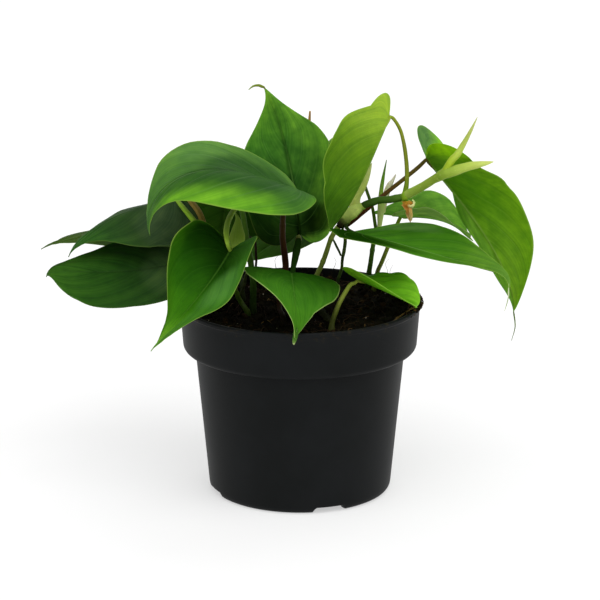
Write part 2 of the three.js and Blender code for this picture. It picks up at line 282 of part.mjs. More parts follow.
function revolve(prof, seg = SEGMENTS) {
  const verts = [], tri = [];
  prof.forEach(([r, z]) => { for (let k = 0; k < seg; k++) verts.push([r * Math.cos(2 * Math.PI * k / seg), r * Math.sin(2 * Math.PI * k / seg), z]); });
  for (let i = 1; i < prof.length; i++) for (let k = 0; k < seg; k++) {
    const a = (i - 1) * seg + k, b = (i - 1) * seg + (k + 1) % seg;
    tri.push([a, b, b + seg], [a, b + seg, a + seg]);
  }
  return solid(verts, tri);
}
const TOP = RIM_DIAMETER / 2, OUT = [
  [0, 0], [BODY_BOTTOM_RADIUS - 3.7, 0], [BODY_BOTTOM_RADIUS - 1.6, 0.45], [BODY_BOTTOM_RADIUS - 0.4, 1.8], [BODY_BOTTOM_RADIUS, 3.8],
  [BODY_TOP_RADIUS, COLLAR_BOTTOM - 0.6], [BODY_TOP_RADIUS + 0.5, COLLAR_BOTTOM - 0.1], [BODY_TOP_RADIUS + 2.6, COLLAR_BOTTOM + 0.4],
  [COLLAR_BOTTOM_RADIUS - 1.1, COLLAR_BOTTOM + 1.7], [COLLAR_BOTTOM_RADIUS - 0.2, COLLAR_BOTTOM + 3.4], [COLLAR_BOTTOM_RADIUS + 0.1, COLLAR_BOTTOM + 5.4],
  [COLLAR_TOP_RADIUS, POT_HEIGHT - 4], [COLLAR_TOP_RADIUS + 0.3, POT_HEIGHT - 2.2], [TOP - 0.1, POT_HEIGHT - 1.3], [TOP, POT_HEIGHT - 0.7], [TOP - 0.4, POT_HEIGHT]];
const IN = [
  [TOP - 1.5, POT_HEIGHT], [TOP - 2, POT_HEIGHT - 0.6], [COLLAR_TOP_RADIUS - WALL, POT_HEIGHT - 4], [COLLAR_BOTTOM_RADIUS + 0.1 - WALL, COLLAR_BOTTOM + 5.6],
  [COLLAR_BOTTOM_RADIUS - 0.5 - WALL, COLLAR_BOTTOM + 3.6], [COLLAR_BOTTOM_RADIUS - 2.6 - WALL, COLLAR_BOTTOM + 2], [BODY_TOP_RADIUS - 0.2, COLLAR_BOTTOM + 1.4],
  [BODY_TOP_RADIUS - WALL, COLLAR_BOTTOM + 0.5], [BODY_TOP_RADIUS - WALL - 0.1, COLLAR_BOTTOM - 1], [BODY_BOTTOM_RADIUS - WALL, 4.4],
  [BODY_BOTTOM_RADIUS - WALL - 0.6, 2.3], [BODY_BOTTOM_RADIUS - WALL - 2.2, FLOOR], [0, FLOOR]];

const wasm = await Module();
wasm.setup();
const { Manifold, Mesh: MMesh } = wasm;
const toM = (g) => new Manifold(new MMesh({ numProp: 3, vertProperties: new Float32Array(g.attributes.position.array), triVerts: new Uint32Array(g.index.array) }));
function fromM(m) {
  const o = m.getMesh(), v = [], t = [];
  for (let i = 0; i < o.vertProperties.length; i += o.numProp) v.push([o.vertProperties[i], o.vertProperties[i + 1], o.vertProperties[i + 2]]);
  for (let i = 0; i < o.triVerts.length; i += 3) t.push([o.triVerts[i], o.triVerts[i + 1], o.triVerts[i + 2]]);
  return solid(v, t);
}
// radial block from r0 to r1, width w, z0 to z1, turned to a channel's azimuth
const block = (i, r0, r1, w, z0, z1) => Manifold.cube([r1 - r0, w, z1 - z0]).translate([r0, -w / 2, z0]).rotate([0, 0, CHANNEL_AZIMUTH + 360 * i / CHANNELS]);
function pot() {
  let m = toM(revolve([...OUT, ...IN]));
  const inside = toM(revolve([[0, 0.2], [BODY_BOTTOM_RADIUS - 2.4, 0.2], [BODY_BOTTOM_RADIUS - 0.6, 4.5], [0, 4.5]]));
  for (let i = 0; i < CHANNELS; i++) m = m.add(block(i, CHANNEL_INNER - WALL, BODY_BOTTOM_RADIUS + 2, CHANNEL_WIDTH + 2 * WALL, 0.2, CHANNEL_HEIGHT + WALL).intersect(inside));
  for (let i = 0; i < CHANNELS; i++) {
    m = m.subtract(block(i, CHANNEL_INNER, TOP, CHANNEL_WIDTH, -1, CHANNEL_HEIGHT));
    m = m.subtract(Manifold.cylinder(8, HOLE_DIAMETER / 2, HOLE_DIAMETER / 2, 20).translate([HOLE_RADIUS, 0, 0]).rotate([0, 0, CHANNEL_AZIMUTH + 360 * i / CHANNELS]));
  }
  return fromM(m);
}
function soil() {
  // wall side from the inner profile, top from the uneven surface
  const side = IN.slice(2, 12).reverse().map(([r, z]) => [r - GAP, z + 0.15]).filter(([, z]) => z < SOIL_LEVEL - 2);
  side[0][1] = FLOOR + GAP;
  const seg = 40, top = [57.3, 50, 40, 30, 20, 10], verts = [], tri = [];
  const ring = (r, z) => { for (let k = 0; k < seg; k++) { const x = r * Math.cos(2 * Math.PI * k / seg), y = r * Math.sin(2 * Math.PI * k / seg); verts.push([x, y, z === null ? soilTop(x, y) : z]); } };
  ring(0.001, FLOOR + GAP);
  side.forEach(([r, z]) => ring(r, z));
  top.forEach((r) => ring(r, null));
  const rings = 1 + side.length + top.length;
  for (let i = 1; i < rings; i++) for (let k = 0; k < seg; k++) {
    const a = (i - 1) * seg + k, b = (i - 1) * seg + (k + 1) % seg;
    tri.push([a, b, b + seg], [a, b + seg, a + seg]);
  }
  const c = verts.push([0, 0, soilTop(0, 0)]) - 1, e = (rings - 1) * seg;
  for (let k = 0; k < seg; k++) tri.push([e + k, e + (k + 1) % seg, c]);
  let m = toM(solid(verts.map((v, i) => i < seg ? [0, 0, FLOOR + GAP] : v), tri));
  for (let i = 0; i < CHANNELS; i++) m = m.subtract(block(i, CHANNEL_INNER - WALL - GAP, TOP, CHANNEL_WIDTH + 2 * WALL + 2 * GAP, 0, CHANNEL_HEIGHT + WALL + GAP));
  return fromM(m);
}

const group = new THREE.Group();
group.name = 'potted_heart_leaf_plant';
function put(name, geometry, colour, roughness) {
  geometry.computeVertexNormals();
  const mesh = new THREE.Mesh(geometry, new THREE.MeshStandardMaterial({ color: colour, roughness }));
  mesh.name = name;
  mesh.material.name = name;
  group.add(mesh);
}
put('pot', pot(), 0x24272a, 0.7);
put('soil', soil(), 0x1c1410, 0.95);
for (const [name, v] of Object.entries(LEAVES)) put(name, leaf(v), LEAF_COLOUR[name], 0.45);
for (const [name, t] of Object.entries(TUBES)) put(name, tube(t), t.colour, 0.6);
for (const [name, b] of Object.entries(NODES)) put(name, node(b), 0x4d6a26, 0.6);
for (const [name, s] of Object.entries(SHEETS)) put(name, sheet(s), name === 'dead_leaf' ? 0x2a2a1c : name === 'sheath_dried' ? 0xc07a3a : 0x8f9d48, 0.6);

export default group;
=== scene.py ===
"""Potted heart-leaf climbing plant: the looks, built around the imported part."""

import bmesh
import bpy
import numpy as np
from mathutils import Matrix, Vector


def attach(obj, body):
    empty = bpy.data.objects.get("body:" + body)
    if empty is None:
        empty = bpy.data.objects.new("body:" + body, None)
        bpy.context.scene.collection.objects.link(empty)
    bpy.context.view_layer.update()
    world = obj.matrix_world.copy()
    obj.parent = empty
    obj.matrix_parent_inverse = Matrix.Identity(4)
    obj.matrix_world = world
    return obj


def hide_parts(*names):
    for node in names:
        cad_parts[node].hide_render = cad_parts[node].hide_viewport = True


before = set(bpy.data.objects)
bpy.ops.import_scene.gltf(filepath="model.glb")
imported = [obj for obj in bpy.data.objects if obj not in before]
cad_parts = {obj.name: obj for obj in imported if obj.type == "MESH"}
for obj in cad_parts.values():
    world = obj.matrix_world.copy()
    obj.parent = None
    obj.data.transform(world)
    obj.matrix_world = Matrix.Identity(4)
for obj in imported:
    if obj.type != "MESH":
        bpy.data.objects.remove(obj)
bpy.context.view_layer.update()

WORLD = 0.45
SUNS = [
    ("key", 34, 52, 1.35, 60),
    ("fill", -42, 46, 0.85, 80),
    ("back", 160, 45, 0.7, 60),
]

# ---------------------------------------------------------------- shape, in millimetres
# the camera: aim height, tilt, distance and focal length in pixels of a 600-pixel frame
def unproject(px, py, Y):
    se, ce = np.sin(np.radians(16.0)), np.cos(np.radians(16.0))
    Z = 0.0
    for _ in range(20):
        dep = 1600.0 + Y * ce - Z * se
        Z = ((300 - py) * dep / 3248.0 - Y * se) / ce
    return np.array([(px - 300) * dep / 3248.0, Y, Z + 96.0])


# one side of a flat heart leaf of unit length: out from the midrib, along it, and where that row leaves the midrib
MARGIN = [[0.0, 0.0, 0.0], [0.05, -0.085, 0.0], [0.13, -0.165, 0.0], [0.235, -0.185, 0.0], [0.335, -0.13, 0.004], [0.4, -0.02, 0.02], [0.425, 0.115, 0.055], [0.412, 0.26, 0.12], [0.365, 0.405, 0.215], [0.29, 0.55, 0.34], [0.2, 0.68, 0.49], [0.12, 0.785, 0.64], [0.06, 0.87, 0.775], [0.025, 0.935, 0.885], [0.0, 1.0, 1.0]]
KEYS = ['X', 'Y', 'Z', 'az', 'el', 'roll', 'L', 'lobe', 'd1', 'd2', 's1', 's2', 't1', 't2', 'fR0', 'fR1', 'fL0', 'fL1', 'cR', 'cL', 'mR0', 'mR1', 'mR2', 'mR3', 'mL0', 'mL1', 'mL2', 'mL3', 'wa', 'wn', 'wp', 'tipk']
LEAVES = {
    "leaf_01": [-4.761,-18.623,155.629,183.882,27.633,-11.443,90.306,0.569,10.59,118.995,-5.036,10.346,24.301,-3.34,-4.85,0.776,22.659,-5.128,35.331,-68.847,1.0,0.947,1.15,0.617,1.088,1.099,1.083,0.875,-1.209,1.28,0.154,4.783],
    "leaf_02": [-0.656,34.036,121.838,109.708,75.28,162.741,74.788,0.444,-6.8,3.581,13.75,2.31,22.258,6.856,-3.245,10.953,22.751,-1.064,-10.447,-6.29,0.951,0.966,1.178,1.036,0.956,1.013,1.215,0.885,-0.48,1.485,-0.076,-30.249],
    "leaf_03": [43.261,1.885,188.193,-134.785,-54.577,-69.931,64.076,0.771,7.257,-37.273,18.04,9.685,-1.24,-1.588,51.086,48.0,50.314,48.251,-8.498,-28.53,1.001,1.0,1.0,1.0,0.445,1.052,1.235,2.256,-1.963,2.294,0.833,12.458],
    "leaf_04": [1.043,55.969,117.891,146.832,-26.431,-23.531,42.211,1.0,12.127,5.139,1.304,0.132,-14.999,-8.078,5.945,-4.556,8.0,5.0,-13.963,-12.0,1.0,1.003,0.98,1.105,1.0,1.0,1.0,1.0,-0.095,1.494,-0.011,-15.312],
    "leaf_05": [62.731,21.703,162.35,8.002,-52.863,34.046,91.499,0.596,-11.452,46.007,10.998,-11.963,-5.202,16.864,-15.71,23.798,50.862,1.425,11.776,1.593,1.197,0.919,1.242,1.389,0.939,1.012,0.919,1.186,-3.76,1.774,0.944,22.968],
    "leaf_06": [27.308,-7.155,132.384,-17.654,-9.516,23.111,85.606,0.614,11.029,-12.797,9.289,-1.156,-34.465,0.534,-11.799,25.329,-2.492,22.909,-1.176,27.569,0.871,0.868,1.03,0.714,1.071,1.021,0.846,0.773,-0.558,1.793,1.726,92.908],
    "leaf_07": [50.757,48.251,126.025,29.181,-4.365,-12.779,55.649,0.981,27.995,23.332,-8.755,-3.697,-18.322,-10.207,28.367,17.764,-1.889,31.726,5.138,-15.19,1.027,1.001,1.011,1.031,0.867,0.91,1.375,0.653,-3.229,0.956,-1.04,-20.748],
    "leaf_08": [-3.873,-16.961,114.603,-91.538,11.629,11.962,61.2,1.009,27.249,52.71,-21.207,-9.203,22.559,23.76,6.702,7.843,4.082,7.998,-36.529,-20.958,1.032,0.996,1.224,1.05,0.968,0.918,0.894,1.35,1.815,1.275,0.302,25.024],
    "leaf_09": [-33.559,-29.983,129.35,-125.515,-41.875,8.885,65.59,0.418,-22.73,23.812,20.022,-3.713,-15.815,-32.207,41.097,-11.171,29.705,-10.388,35.372,10.337,1.062,0.79,0.719,0.9,0.957,0.86,1.063,1.408,6.034,1.167,-0.796,11.697],
    "leaf_10": [-60.798,18.252,142.083,-171.107,-6.298,4.234,62.999,0.916,18.6,29.157,-2.458,-1.5,-9.728,5.65,-8.344,-7.162,-20.414,-6.296,-18.422,-30.622,0.934,1.009,0.946,1.108,0.986,1.13,1.023,0.988,-1.561,1.795,-0.449,15.889],
    "leaf_11": [-75.88,52.091,119.965,-179.925,-2.368,-8.301,57.083,1.0,5.877,19.013,-1.135,-0.745,3.231,2.086,0.117,0.469,-4.16,-1.662,-23.368,-26.311,1.0,1.001,1.01,1.001,1.0,1.022,1.033,0.962,0.06,1.467,-0.046,4.108],
    "leaf_12": [-59.111,-0.623,115.412,186.166,-11.357,11.685,70.86,1.0,-10.691,2.164,21.512,11.805,13.817,10.757,10.6,1.837,4.341,-8.093,-8.269,-10.24,1.0,1.027,0.876,0.951,1.004,1.044,1.198,1.655,-0.751,1.281,-0.76,81.808],
    "leaf_13": [28.27,-23.673,113.199,-33.222,-13.856,-54.902,35.645,0.953,14.271,61.597,-8.687,0.217,-7.931,13.117,85.0,68.2,-56.788,38.454,22.129,-13.289,0.995,0.989,1.077,1.003,0.837,0.834,1.395,2.779,-2.413,1.454,1.684,68.155],
    "leaf_14": [26.272,44.073,160.822,-129.146,-52.838,5.972,24.119,1.008,22.881,25.339,4.681,1.512,-0.393,-0.003,27.689,4.97,20.0,5.0,9.462,5.0,1.218,1.003,1.0,1.0,1.0,1.0,1.0,1.0,-1.905,1.493,-1.108,8.042],
    "leaf_15": [-37.332,46.0,134.252,-160.0,-82.715,70.0,39.101,1.0,0.0,0.0,0.0,0.0,0.0,0.0,6.0,4.0,6.0,4.0,-8.0,-8.0,1.426,1.426,1.25,1.0,1.426,1.426,1.25,1.0,0.0,1.5,0.0,0.0],
}
LEAVES = {k: dict(zip(KEYS, v)) for k, v in LEAVES.items()}
# centre lines and radii
TUBES = {
    "petiole_15": dict(at=[[-28.44,19.87,91.6],[-28.99,24.0,94.84],[-29.97,38.5,99.63],[-31.9,50.0,108.0],[-34.45,54.0,119.51],[-37.29,47.32,134.59]], r=[1.15,1.1,1.05,1.0,0.9,0.65], cls="petiole_dark", kind="stalk"),
    "stem_left": dict(at=[[-23.28,0.25,90.97],[-23.19,3.0,97.19],[-23.16,3.0,105.39],[-24.57,2.0,116.9],[-26.45,0.0,129.12],[-27.82,-3.0,140.01],[-28.66,-4.0,143.69]], r=[1.75,1.6,1.55,1.5,1.45,1.4,1.4], cls="stem_green", kind="vine"),
    "petiole_09": dict(at=[[-30.4,-6.5,145.94],[-32.19,-10.2,144.03],[-33.99,-15.0,142.11],[-35.28,-21.5,139.31],[-35.43,-28.2,136.85],[-34.64,-32.6,133.8],[-33.79,-30.81,131.15]], r=[1.3,1.35,1.4,1.4,1.35,1.2,0.7], cls="petiole_light", kind="stalk"),
    "petiole_10": dict(at=[[-26.19,-2.96,91.28],[-29.71,3.0,95.14],[-34.9,0.0,108.27],[-40.66,-2.0,120.53],[-46.0,-1.5,129.01],[-51.06,2.2,134.52],[-55.1,7.0,138.24],[-58.33,11.5,140.94],[-60.79,18.11,143.99]], r=[1.25,1.25,1.25,1.25,1.3,1.35,1.3,1.15,0.7], cls="petiole_bright", kind="stalk"),
    "petiole_11": dict(at=[[-39.05,25.3,90.97],[-41.19,15.0,104.61],[-43.36,7.0,118.6],[-45.44,4.5,127.42],[-47.34,4.0,134.15],[-49.82,6.3,139.38],[-52.56,8.5,142.62],[-55.36,12.5,145.4],[-58.35,21.0,147.08],[-62.39,36.0,144.87],[-68.06,51.0,137.5],[-73.41,55.0,126.58],[-74.95,52.32,121.59]], r=[1.7,1.65,1.6,1.55,1.5,1.5,1.45,1.4,1.3,1.2,1.1,1.0,0.7], cls="petiole_brown", kind="stalk"),
    "petiole_12": dict(at=[[-40.34,16.35,91.06],[-41.74,14.0,94.57],[-44.93,6.0,104.04],[-50.17,2.0,111.8],[-58.08,-0.21,114.13]], r=[1.3,1.25,1.2,1.1,0.7], cls="petiole_dark", kind="stalk"),
    "petiole_01": dict(at=[[-8.46,-14.62,92.03],[-10.08,-4.0,93.06],[-10.34,0.0,97.54],[-8.62,3.0,104.37],[-7.14,4.0,110.74],[-7.47,2.0,117.92],[-8.41,-3.0,126.88],[-8.47,-9.0,136.04],[-7.99,-15.0,145.11],[-6.27,-19.0,152.12],[-5.29,-18.98,154.15]], r=[1.2,1.25,1.35,1.5,1.6,1.6,1.5,1.4,1.25,1.1,0.7], cls="petiole_brown", kind="stalk"),
    "stem_back": dict(at=[[-5.01,27.12,91.26],[-4.25,24.0,99.51],[-2.73,18.0,110.47],[-1.38,13.0,120.05]], r=[1.3,1.2,1.15,1.1], cls="stem_green", kind="vine"),
    "petiole_08": dict(at=[[-1.08,5.5,122.83],[-1.67,0.0,121.26],[-2.54,-8.0,118.61],[-3.31,-13.5,116.33],[-3.75,-13.79,114.15]], r=[1.5,1.95,1.6,1.3,0.75], cls="petiole_dark", kind="stalk"),
    "petiole_02": dict(at=[[-5.58,46.56,90.41],[-3.78,41.0,101.03],[-2.41,38.0,111.24],[0.45,32.53,121.79]], r=[1.0,0.95,0.95,0.7], cls="petiole_dark", kind="stalk"),
    "petiole_04": dict(at=[[-5.08,50.52,90.61],[-3.66,53.0,98.77],[-2.03,56.0,107.96],[1.58,55.0,117.05]], r=[1.0,0.95,0.9,0.7], cls="petiole_dark", kind="stalk"),
    "leaf_rolled_top": dict(at=[[1.28,66.0,114.26],[2.55,68.0,129.55],[3.86,67.0,155.96],[4.7,66.0,170.22],[5.05,65.5,176.33]], r=[1.3,1.5,1.2,0.75,0.45], cls="dried", kind="rolled"),
    "stem_center": dict(at=[[2.99,16.86,90.29],[5.22,14.0,96.64],[8.42,12.0,105.44],[10.87,10.0,111.64],[13.07,8.5,118.19],[14.43,7.0,123.19],[15.74,6.0,126.77],[18.17,5.0,131.1]], r=[1.35,1.3,1.25,1.25,1.25,1.2,1.25,1.4], cls="petiole_light", kind="vine"),
    "stem_right": dict(at=[[31.57,3.0,143.51],[34.73,2.5,144.9],[39.11,2.0,146.29],[43.97,1.0,146.8],[47.85,0.3,147.68]], r=[1.75,1.8,1.8,1.8,1.9], cls="stem_green", kind="vine"),
    "petiole_03": dict(at=[[51.4,0.5,150.95],[52.1,1.0,155.6],[52.07,2.0,162.38],[51.15,3.0,171.15],[49.54,3.5,179.03],[47.65,3.5,183.51],[45.42,3.0,186.81],[44.39,1.09,187.66]], r=[1.35,1.15,1.05,1.0,0.95,0.95,0.9,0.65], cls="petiole_light", kind="stalk"),
    "petiole_05": dict(at=[[22.89,9.0,131.72],[26.33,9.5,134.14],[29.72,10.0,136.9],[32.97,10.5,139.57],[41.3,13.0,146.19],[50.91,17.0,152.95],[58.48,21.0,158.26],[61.57,20.75,162.13]], r=[1.15,1.2,1.15,1.15,1.1,1.05,1.05,0.7], cls="petiole_brown", kind="stalk"),
    "shoot_right": dict(at=[[53.81,-1.8,150.97],[56.2,-4.2,152.88],[60.16,-8.0,156.13],[64.8,-12.0,160.31],[68.27,-15.0,162.94]], r=[2.35,2.25,2.1,2.15,2.55], cls="shoot", kind="shoot"),
    "spike_upper": dict(at=[[72.73,-17.7,170.54],[75.52,-18.9,174.08],[77.8,-20.2,178.53],[80.76,-21.6,184.56],[82.89,-22.5,189.33],[84.67,-23.0,193.36]], r=[1.85,1.7,1.4,0.95,0.58,0.15], cls="shoot", kind="spike"),
    "spike_lower": dict(at=[[70.72,-17.0,164.57],[75.04,-19.0,166.35],[78.79,-20.5,168.05],[82.57,-21.5,169.23],[86.34,-22.5,170.16],[90.12,-23.2,171.07],[92.59,-23.5,171.64]], r=[2.7,2.5,2.2,2.0,1.55,0.9,0.2], cls="shoot", kind="spike"),
    "stem_middle": dict(at=[[33.86,41.26,90.06],[34.8,40.5,98.55],[35.95,40.0,107.05],[36.94,39.0,114.62],[38.13,38.0,120.86]], r=[1.3,1.25,1.2,1.15,1.15], cls="stem_green", kind="vine"),
    "petiole_14": dict(at=[[37.71,38.0,124.33],[36.32,39.0,132.77],[34.31,40.0,138.71],[31.55,42.0,146.47],[28.54,44.0,154.22],[26.97,45.12,160.5]], r=[0.9,0.8,0.8,0.75,0.7,0.55], cls="petiole_dark", kind="stalk"),
    "leaf_rolled_back": dict(at=[[39.72,36.0,123.98],[40.23,36.0,129.41],[40.59,35.5,134.7],[40.52,35.0,142.03],[41.52,35.0,149.74],[43.05,35.0,158.45]], r=[1.1,1.6,1.8,1.15,0.8,0.2], cls="shoot", kind="rolled"),
    "petiole_07": dict(at=[[37.25,39.24,90.11],[39.01,41.5,98.54],[41.37,42.5,104.02],[44.13,44.0,110.67],[47.16,46.0,117.7],[50.17,48.28,124.69]], r=[1.2,1.15,1.1,1.05,1.0,0.7], cls="petiole_light", kind="stalk"),
    "petiole_13": dict(at=[[15.27,-28.71,90.31],[15.61,-27.5,92.44],[16.72,-26.5,96.03],[18.9,-25.5,101.5],[21.55,-25.0,106.39],[24.4,-24.6,110.81],[26.53,-24.3,111.53],[27.02,-23.6,111.73]], r=[1.5,1.3,1.25,1.2,1.15,1.1,0.9,0.5], cls="petiole_light", kind="stalk"),
    "petiole_06": dict(at=[[22.73,1.6,132.65],[23.2,-1.4,132.75],[24.0,-4.3,132.8],[24.61,-6.11,133.29]], r=[1.0,0.85,0.7,0.45], cls="petiole_dark", kind="stalk"),
    "root_a": dict(at=[[16.55,7.5,124.33],[17.88,7.5,121.63],[19.42,7.6,118.44],[20.02,8.0,116.69]], r=[0.5,0.6,0.55,0.5], cls="root", kind="root"),
    "root_b": dict(at=[[20.91,4.2,130.8],[21.71,-2.5,130.29],[22.13,-1.5,126.48],[21.73,4.0,120.43],[20.95,10.0,114.2],[20.68,15.0,108.21],[19.4,18.5,102.6],[18.45,21.0,97.24],[17.75,22.95,90.74]], r=[0.6,0.75,0.9,0.95,0.8,0.72,0.8,0.75,0.65], cls="root", kind="root"),
    "root_left": dict(at=[[-26.14,6.0,108.9],[-27.42,10.0,102.92],[-28.66,14.0,96.84],[-32.8,18.37,90.91]], r=[0.55,0.85,0.8,0.5], cls="root_pale", kind="root"),
    "root_thin": dict(at=[[-22.56,22.0,120.71],[-21.94,22.0,114.54],[-21.82,22.5,109.24],[-22.72,24.0,99.51],[-23.02,25.12,91.06]], r=[0.55,0.6,0.6,0.55,0.5], cls="root", kind="root"),
    "straw": dict(at=[[40.97,-27.8,91.1],[45.12,-25.99,92.6],[50.71,-17.6,94.2],[54.01,-13.16,95.3]], r=[0.4,0.42,0.4,0.3], cls="straw", kind="fibre"),
    "tip_02": dict(at=[[-19.0,50.17,192.46],[-20.72,50.5,193.04],[-23.46,50.0,192.69],[-25.6,49.0,191.13]], r=[0.75,0.7,0.5,0.2], cls="petiole_light", kind="drip"),
    "tip_05": dict(at=[[106.6,16.24,84.24],[107.22,16.0,80.0],[107.19,16.0,76.36],[105.58,15.0,70.67]], r=[0.65,0.5,0.4,0.2], cls="petiole_light", kind="drip"),
    "tip_06": dict(at=[[99.97,-40.06,111.39],[99.93,-40.5,109.11],[99.19,-41.0,105.76],[98.15,-41.0,102.26]], r=[0.75,0.55,0.4,0.2], cls="petiole_light", kind="drip"),
    "node_center": dict(at=[[19.63,4.5,132.75],[21.83,4.0,135.42],[24.75,3.6,138.81],[27.67,3.3,141.16],[30.11,3.1,142.63]], r=[1.9,2.6,3.0,2.6,1.95], cls="node", kind="joint"),
}
NODES = {
    "node_left": dict(at=[-29.23,-4.0,146.31], axis=[0.1855,0.0,-0.9826], r=[1.9,1.9,2.3]),
    "node_back": dict(at=[-0.74,12.0,123.89], axis=[-0.1328,0.0,-0.9911], r=[1.5,1.5,2.2]),
    "node_right": dict(at=[50.77,0.0,148.31], axis=[0.3545,0.0,0.935], r=[2.1,2.1,2.4]),
}
# thin sheets: left edge, right edge and bulge at each station
SHEETS = {
    "sheath_back": dict(bulge=[0, -1, 0], at=[[[41.34,40.5,129.8], [42.75,40.5,130.11], 0.3], [[41.21,40.5,134.97], [43.81,40.5,135.7], 1.0], [[41.87,40.6,140.37], [45.47,40.6,141.66], 1.2], [[43.55,40.8,144.7], [47.04,40.8,146.25], 0.9], [[45.94,41.0,147.33], [48.02,41.0,148.98], 0.5], [[47.52,41.0,149.5], [47.87,41.0,149.81], 0.05]]),
    "sheath_center": dict(bulge=[0, -1, 0], at=[[[24.11,11.0,140.45], [29.62,11.0,141.47], 2.6], [[24.35,11.5,144.39], [29.81,11.5,144.89], 3.0], [[26.3,12.0,148.82], [31.96,12.0,148.82], 2.6], [[29.24,12.5,154.01], [33.91,12.5,154.01], 1.9], [[32.17,13.0,158.44], [34.87,13.0,158.44], 1.0], [[35.05,13.3,162.15], [35.45,13.3,162.15], 0.1]]),
    "sheath_left": dict(bulge=[0, -1, 0], at=[[[-31.73,-7.0,142.05], [-31.14,-7.0,142.25], 0.1], [[-31.36,-9.0,139.3], [-29.03,-9.0,139.55], 0.9], [[-33.02,-12.5,135.45], [-27.68,-12.5,135.7], 1.6], [[-34.42,-16.0,132.11], [-26.66,-16.0,132.46], 1.7], [[-34.39,-18.5,129.27], [-27.36,-18.5,130.27], 1.3], [[-33.6,-19.5,127.03], [-30.02,-19.5,127.03], 0.8], [[-32.53,-20.5,125.29], [-31.75,-20.5,125.29], 0.1]]),
    "sheath_dried": dict(bulge=[0, -1, 0], at=[[[49.69,-3.8,147.16], [53.29,-3.8,147.46], 0.9], [[49.89,-4.2,145.45], [55.53,-4.2,146.16], 0.8], [[51.18,-4.0,143.29], [54.59,-4.0,143.69], 0.6], [[52.39,-3.6,140.17], [54.73,-3.6,140.37], 0.4], [[53.51,-3.2,136.33], [54.19,-3.2,136.33], 0.1]]),
    "dead_leaf": dict(bulge=[0, 0, 1], at=[[[7.88,-1.34,91.75], [8.28,-0.02,91.78], 0.0], [[8.35,-5.91,91.24], [11.1,1.52,91.59], 0.6], [[10.52,-13.48,90.9], [13.52,-4.43,91.26], 0.8], [[12.91,-19.51,90.94], [14.91,-13.76,91.44], 0.5], [[14.85,-20.79,90.91], [15.25,-19.77,91.01], 0.0]]),
}


# ---------------------------------------------------------------- small maths
rng = np.random.default_rng(20240611)


def cr(pts, t):
    pts = np.asarray(pts, float)
    n = len(pts) - 1
    t = np.clip(np.asarray(t, float), 0, n)
    i = np.minimum(t.astype(int), n - 1)
    f = (t - i)[..., None]

    def P(k):
        k = np.asarray(k)
        a = pts[np.clip(k, 0, n)]
        a = np.where((k < 0)[..., None], 2 * pts[0] - pts[1], a)
        return np.where((k > n)[..., None], 2 * pts[n] - pts[n - 1], a)

    p0, p1, p2, p3 = P(i - 1), P(i), P(i + 1), P(i + 2)
    return 0.5 * (2 * p1 + (-p0 + p2) * f + (2 * p0 - 5 * p1 + 4 * p2 - p3) * f * f + (-p0 + 3 * p1 - 3 * p2 + p3) * f**3)


def smooth(a, b, x):
    t = np.clip((np.asarray(x, float) - a) / (b - a), 0, 1)
    return t * t * (3 - 2 * t)


def unit(v):
    v = np.asarray(v, float)
    return v / np.maximum(np.linalg.norm(v, axis=-1, keepdims=True), 1e-12)


def vnoise(p, seed=0.0):
    """smooth value noise in -1..1 at points p (..., 3)"""
    p = np.asarray(p, float)
    i = np.floor(p)
    f = p - i
    f = f * f * (3 - 2 * f)
    out = 0
    for dx in (0, 1):
        for dy in (0, 1):
            for dz in (0, 1):
                v = np.sin((i[..., 0] + dx) * 12.9898 + (i[..., 1] + dy) * 78.233 + (i[..., 2] + dz) * 37.719 + seed * 4.581) * 4375.8543
                v = v - np.floor(v)
                w = (f[..., 0] if dx else 1 - f[..., 0]) * (f[..., 1] if dy else 1 - f[..., 1]) * (f[..., 2] if dz else 1 - f[..., 2])
                out = out + w * v
    return out * 2 - 1


def fbm(p, seed=0.0, octaves=3):
    p = np.asarray(p, float)
    out, a = 0, 1.0
    for k in range(octaves):
        out = out + a * vnoise(p * 2.03**k, seed + 7.7 * k)
        a *= 0.5
    return out


# ---------------------------------------------------------------- leaf surface
def frames(p, n=41):
    az, el, roll = np.radians([p["az"], p["el"], p["roll"]])
    T0 = np.array([np.cos(el) * np.cos(az), np.cos(el) * np.sin(az), np.sin(el)])
    H = np.array([np.sin(az), -np.cos(az), 0.0])
    Nu = np.cross(H, T0)
    B0 = H * np.cos(roll) + Nu * np.sin(roll)
    N0 = Nu * np.cos(roll) - H * np.sin(roll)
    ys = np.concatenate([np.linspace(-0.25, 0, 9)[:-1], np.linspace(0, 1, n)])
    yy = np.maximum(ys, 0)
    th = np.radians(p["d1"] * ys + p["d2"] * yy**2 + p["tipk"] * np.maximum(ys - 0.8, 0) ** 2 * 25)
    ps = np.radians(p["s1"] * ys + p["s2"] * yy**2)
    ph = np.radians(p["t1"] * ys + p["t2"] * yy**2)
    d = np.stack([np.sin(ps) * np.cos(th), np.cos(ps) * np.cos(th), -np.sin(th)], -1)
    n0 = np.stack([np.sin(ps) * np.sin(th), np.cos(ps) * np.sin(th), np.cos(th)], -1)
    b0 = np.cross(d, n0)
    b = b0 * np.cos(ph)[:, None] + n0 * np.sin(ph)[:, None]
    nn = n0 * np.cos(ph)[:, None] - b0 * np.sin(ph)[:, None]
    R = np.stack([B0, T0, N0], 0)
    d, b, nn = d @ R, b @ R, nn @ R
    C = np.zeros_like(d)
    C[1:] = np.cumsum(np.diff(ys)[:, None] * (d[1:] + d[:-1]) / 2 * p["L"], 0)
    C = C - C[8] + np.array([p["X"], p["Y"], p["Z"]])
    return ys, C, d, b, nn


def at(ys, A, y):
    return np.stack([np.interp(y, ys, A[:, k]) for k in range(3)], -1)


YK = np.array([-0.2, 0.0, 0.33, 0.66, 0.95])


